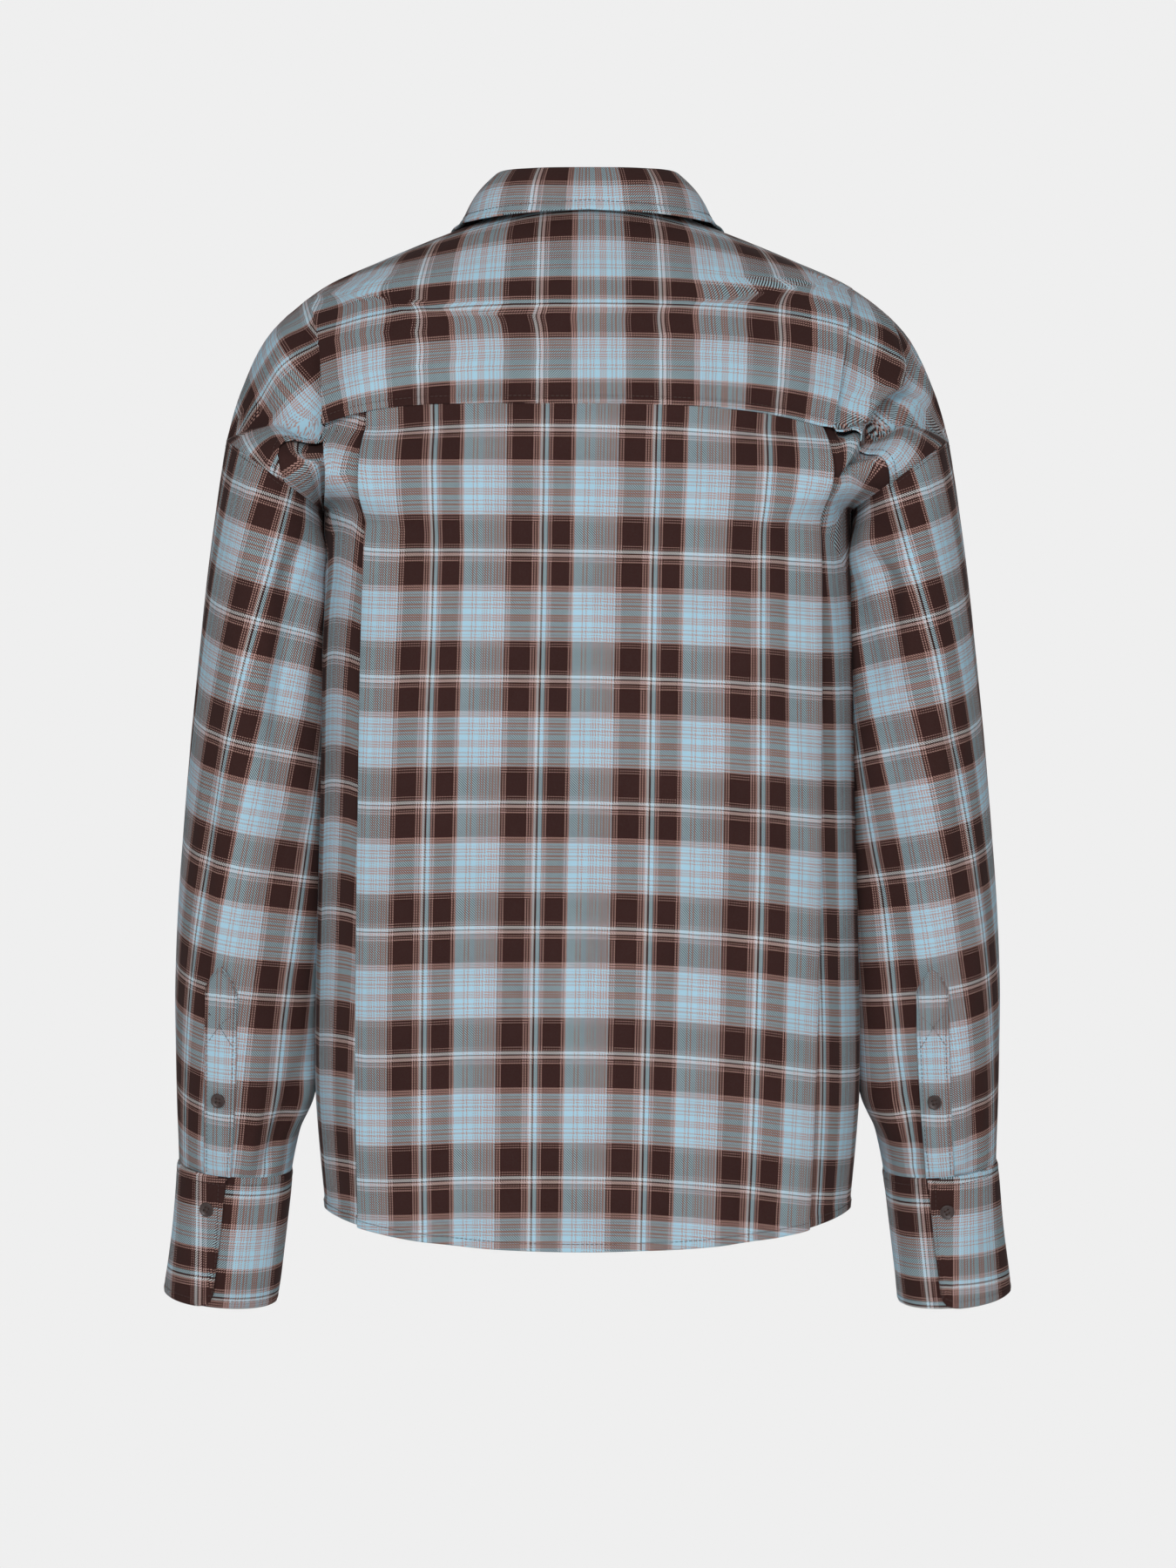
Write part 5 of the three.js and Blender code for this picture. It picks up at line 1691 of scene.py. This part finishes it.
def makeStudio():
    corners = 96
    verts = []
    for n in range(corners):
        a = 2 * math.pi * n / corners
        verts.append((studio["radius"] * math.cos(a), studio["radius"] * math.sin(a), studio["floorZ"]))
    mesh = bpy.data.meshes.new("studioFloor")
    mesh.from_pydata(verts, [], [tuple(range(corners))])
    floor = bpy.data.objects.new("studioFloor", mesh)
    bpy.context.scene.collection.objects.link(floor)
    paper = bpy.data.materials.new("paleFloor")
    paper.use_nodes = True
    shader = paper.node_tree.nodes["Principled BSDF"]
    shader.inputs["Base Color"].default_value = (0.92, 0.92, 0.92, 1)
    shader.inputs["Roughness"].default_value = 0.95
    shader.inputs["Specular IOR Level"].default_value = 0.0
    mesh.materials.append(paper)


# The background's brightness as it is seen, and a lower one for the light that it gives.
def makeAir():
    world = bpy.data.worlds.new("studioAir")
    bpy.context.scene.world = world
    world.use_nodes = True
    tree = world.node_tree
    seen = node(tree, "ShaderNodeLightPath").outputs["Is Camera Ray"]
    more = mathNode(tree, "MULTIPLY", seen, studio["background"] - studio["air"])
    strength = mathNode(tree, "ADD", more, studio["air"])
    tree.nodes["Background"].inputs["Color"].default_value = (1, 1, 1, 1)
    tree.links.new(strength, tree.nodes["Background"].inputs["Strength"])


def addLight(name, place, aim, size, power):
    light = bpy.data.lights.new(name, "AREA")
    light.shape = "SQUARE"
    light.size = size
    light.energy = power
    made = bpy.data.objects.new(name, light)
    bpy.context.scene.collection.objects.link(made)
    made.location = place
    made.rotation_euler = (Vector(aim) - Vector(place)).to_track_quat("-Z", "Y").to_euler()


# Each light's place, aim, size in metres and watts.
lights = {
    "softKey": ((-0.9, -4.1, 1.1), (0, 0, -0.35), 1.6, 84),
    "softFill": ((1.1, -4.1, -0.1), (0, 0, -0.4), 1.8, 39),
    "softFront": ((0.8, 4.0, 0.9), (0, 0, -0.4), 2.0, 60),
}


def makeLights():
    for name, how in lights.items():
        addLight(name, *how)


def makeCamera():
    bpy.context.scene.view_settings.view_transform = "Standard"
    lens = bpy.data.cameras.new("studioCamera")
    lens.sensor_width = 36
    lens.sensor_fit = "AUTO"
    lens.lens = 36 * (eye["surface"] - eye["y"]) / (1800 * photoScale)
    lens.clip_end = 50
    camera = bpy.data.objects.new("studioCamera", lens)
    bpy.context.scene.collection.objects.link(camera)
    camera.location = (0.0003, eye["y"] / 1000, eye["z"] / 1000)
    camera.rotation_euler = (math.radians(90), 0, 0)
    bpy.context.scene.camera = camera


makeStudio()
makeAir()
makeLights()
makeCamera()
print("studio made")
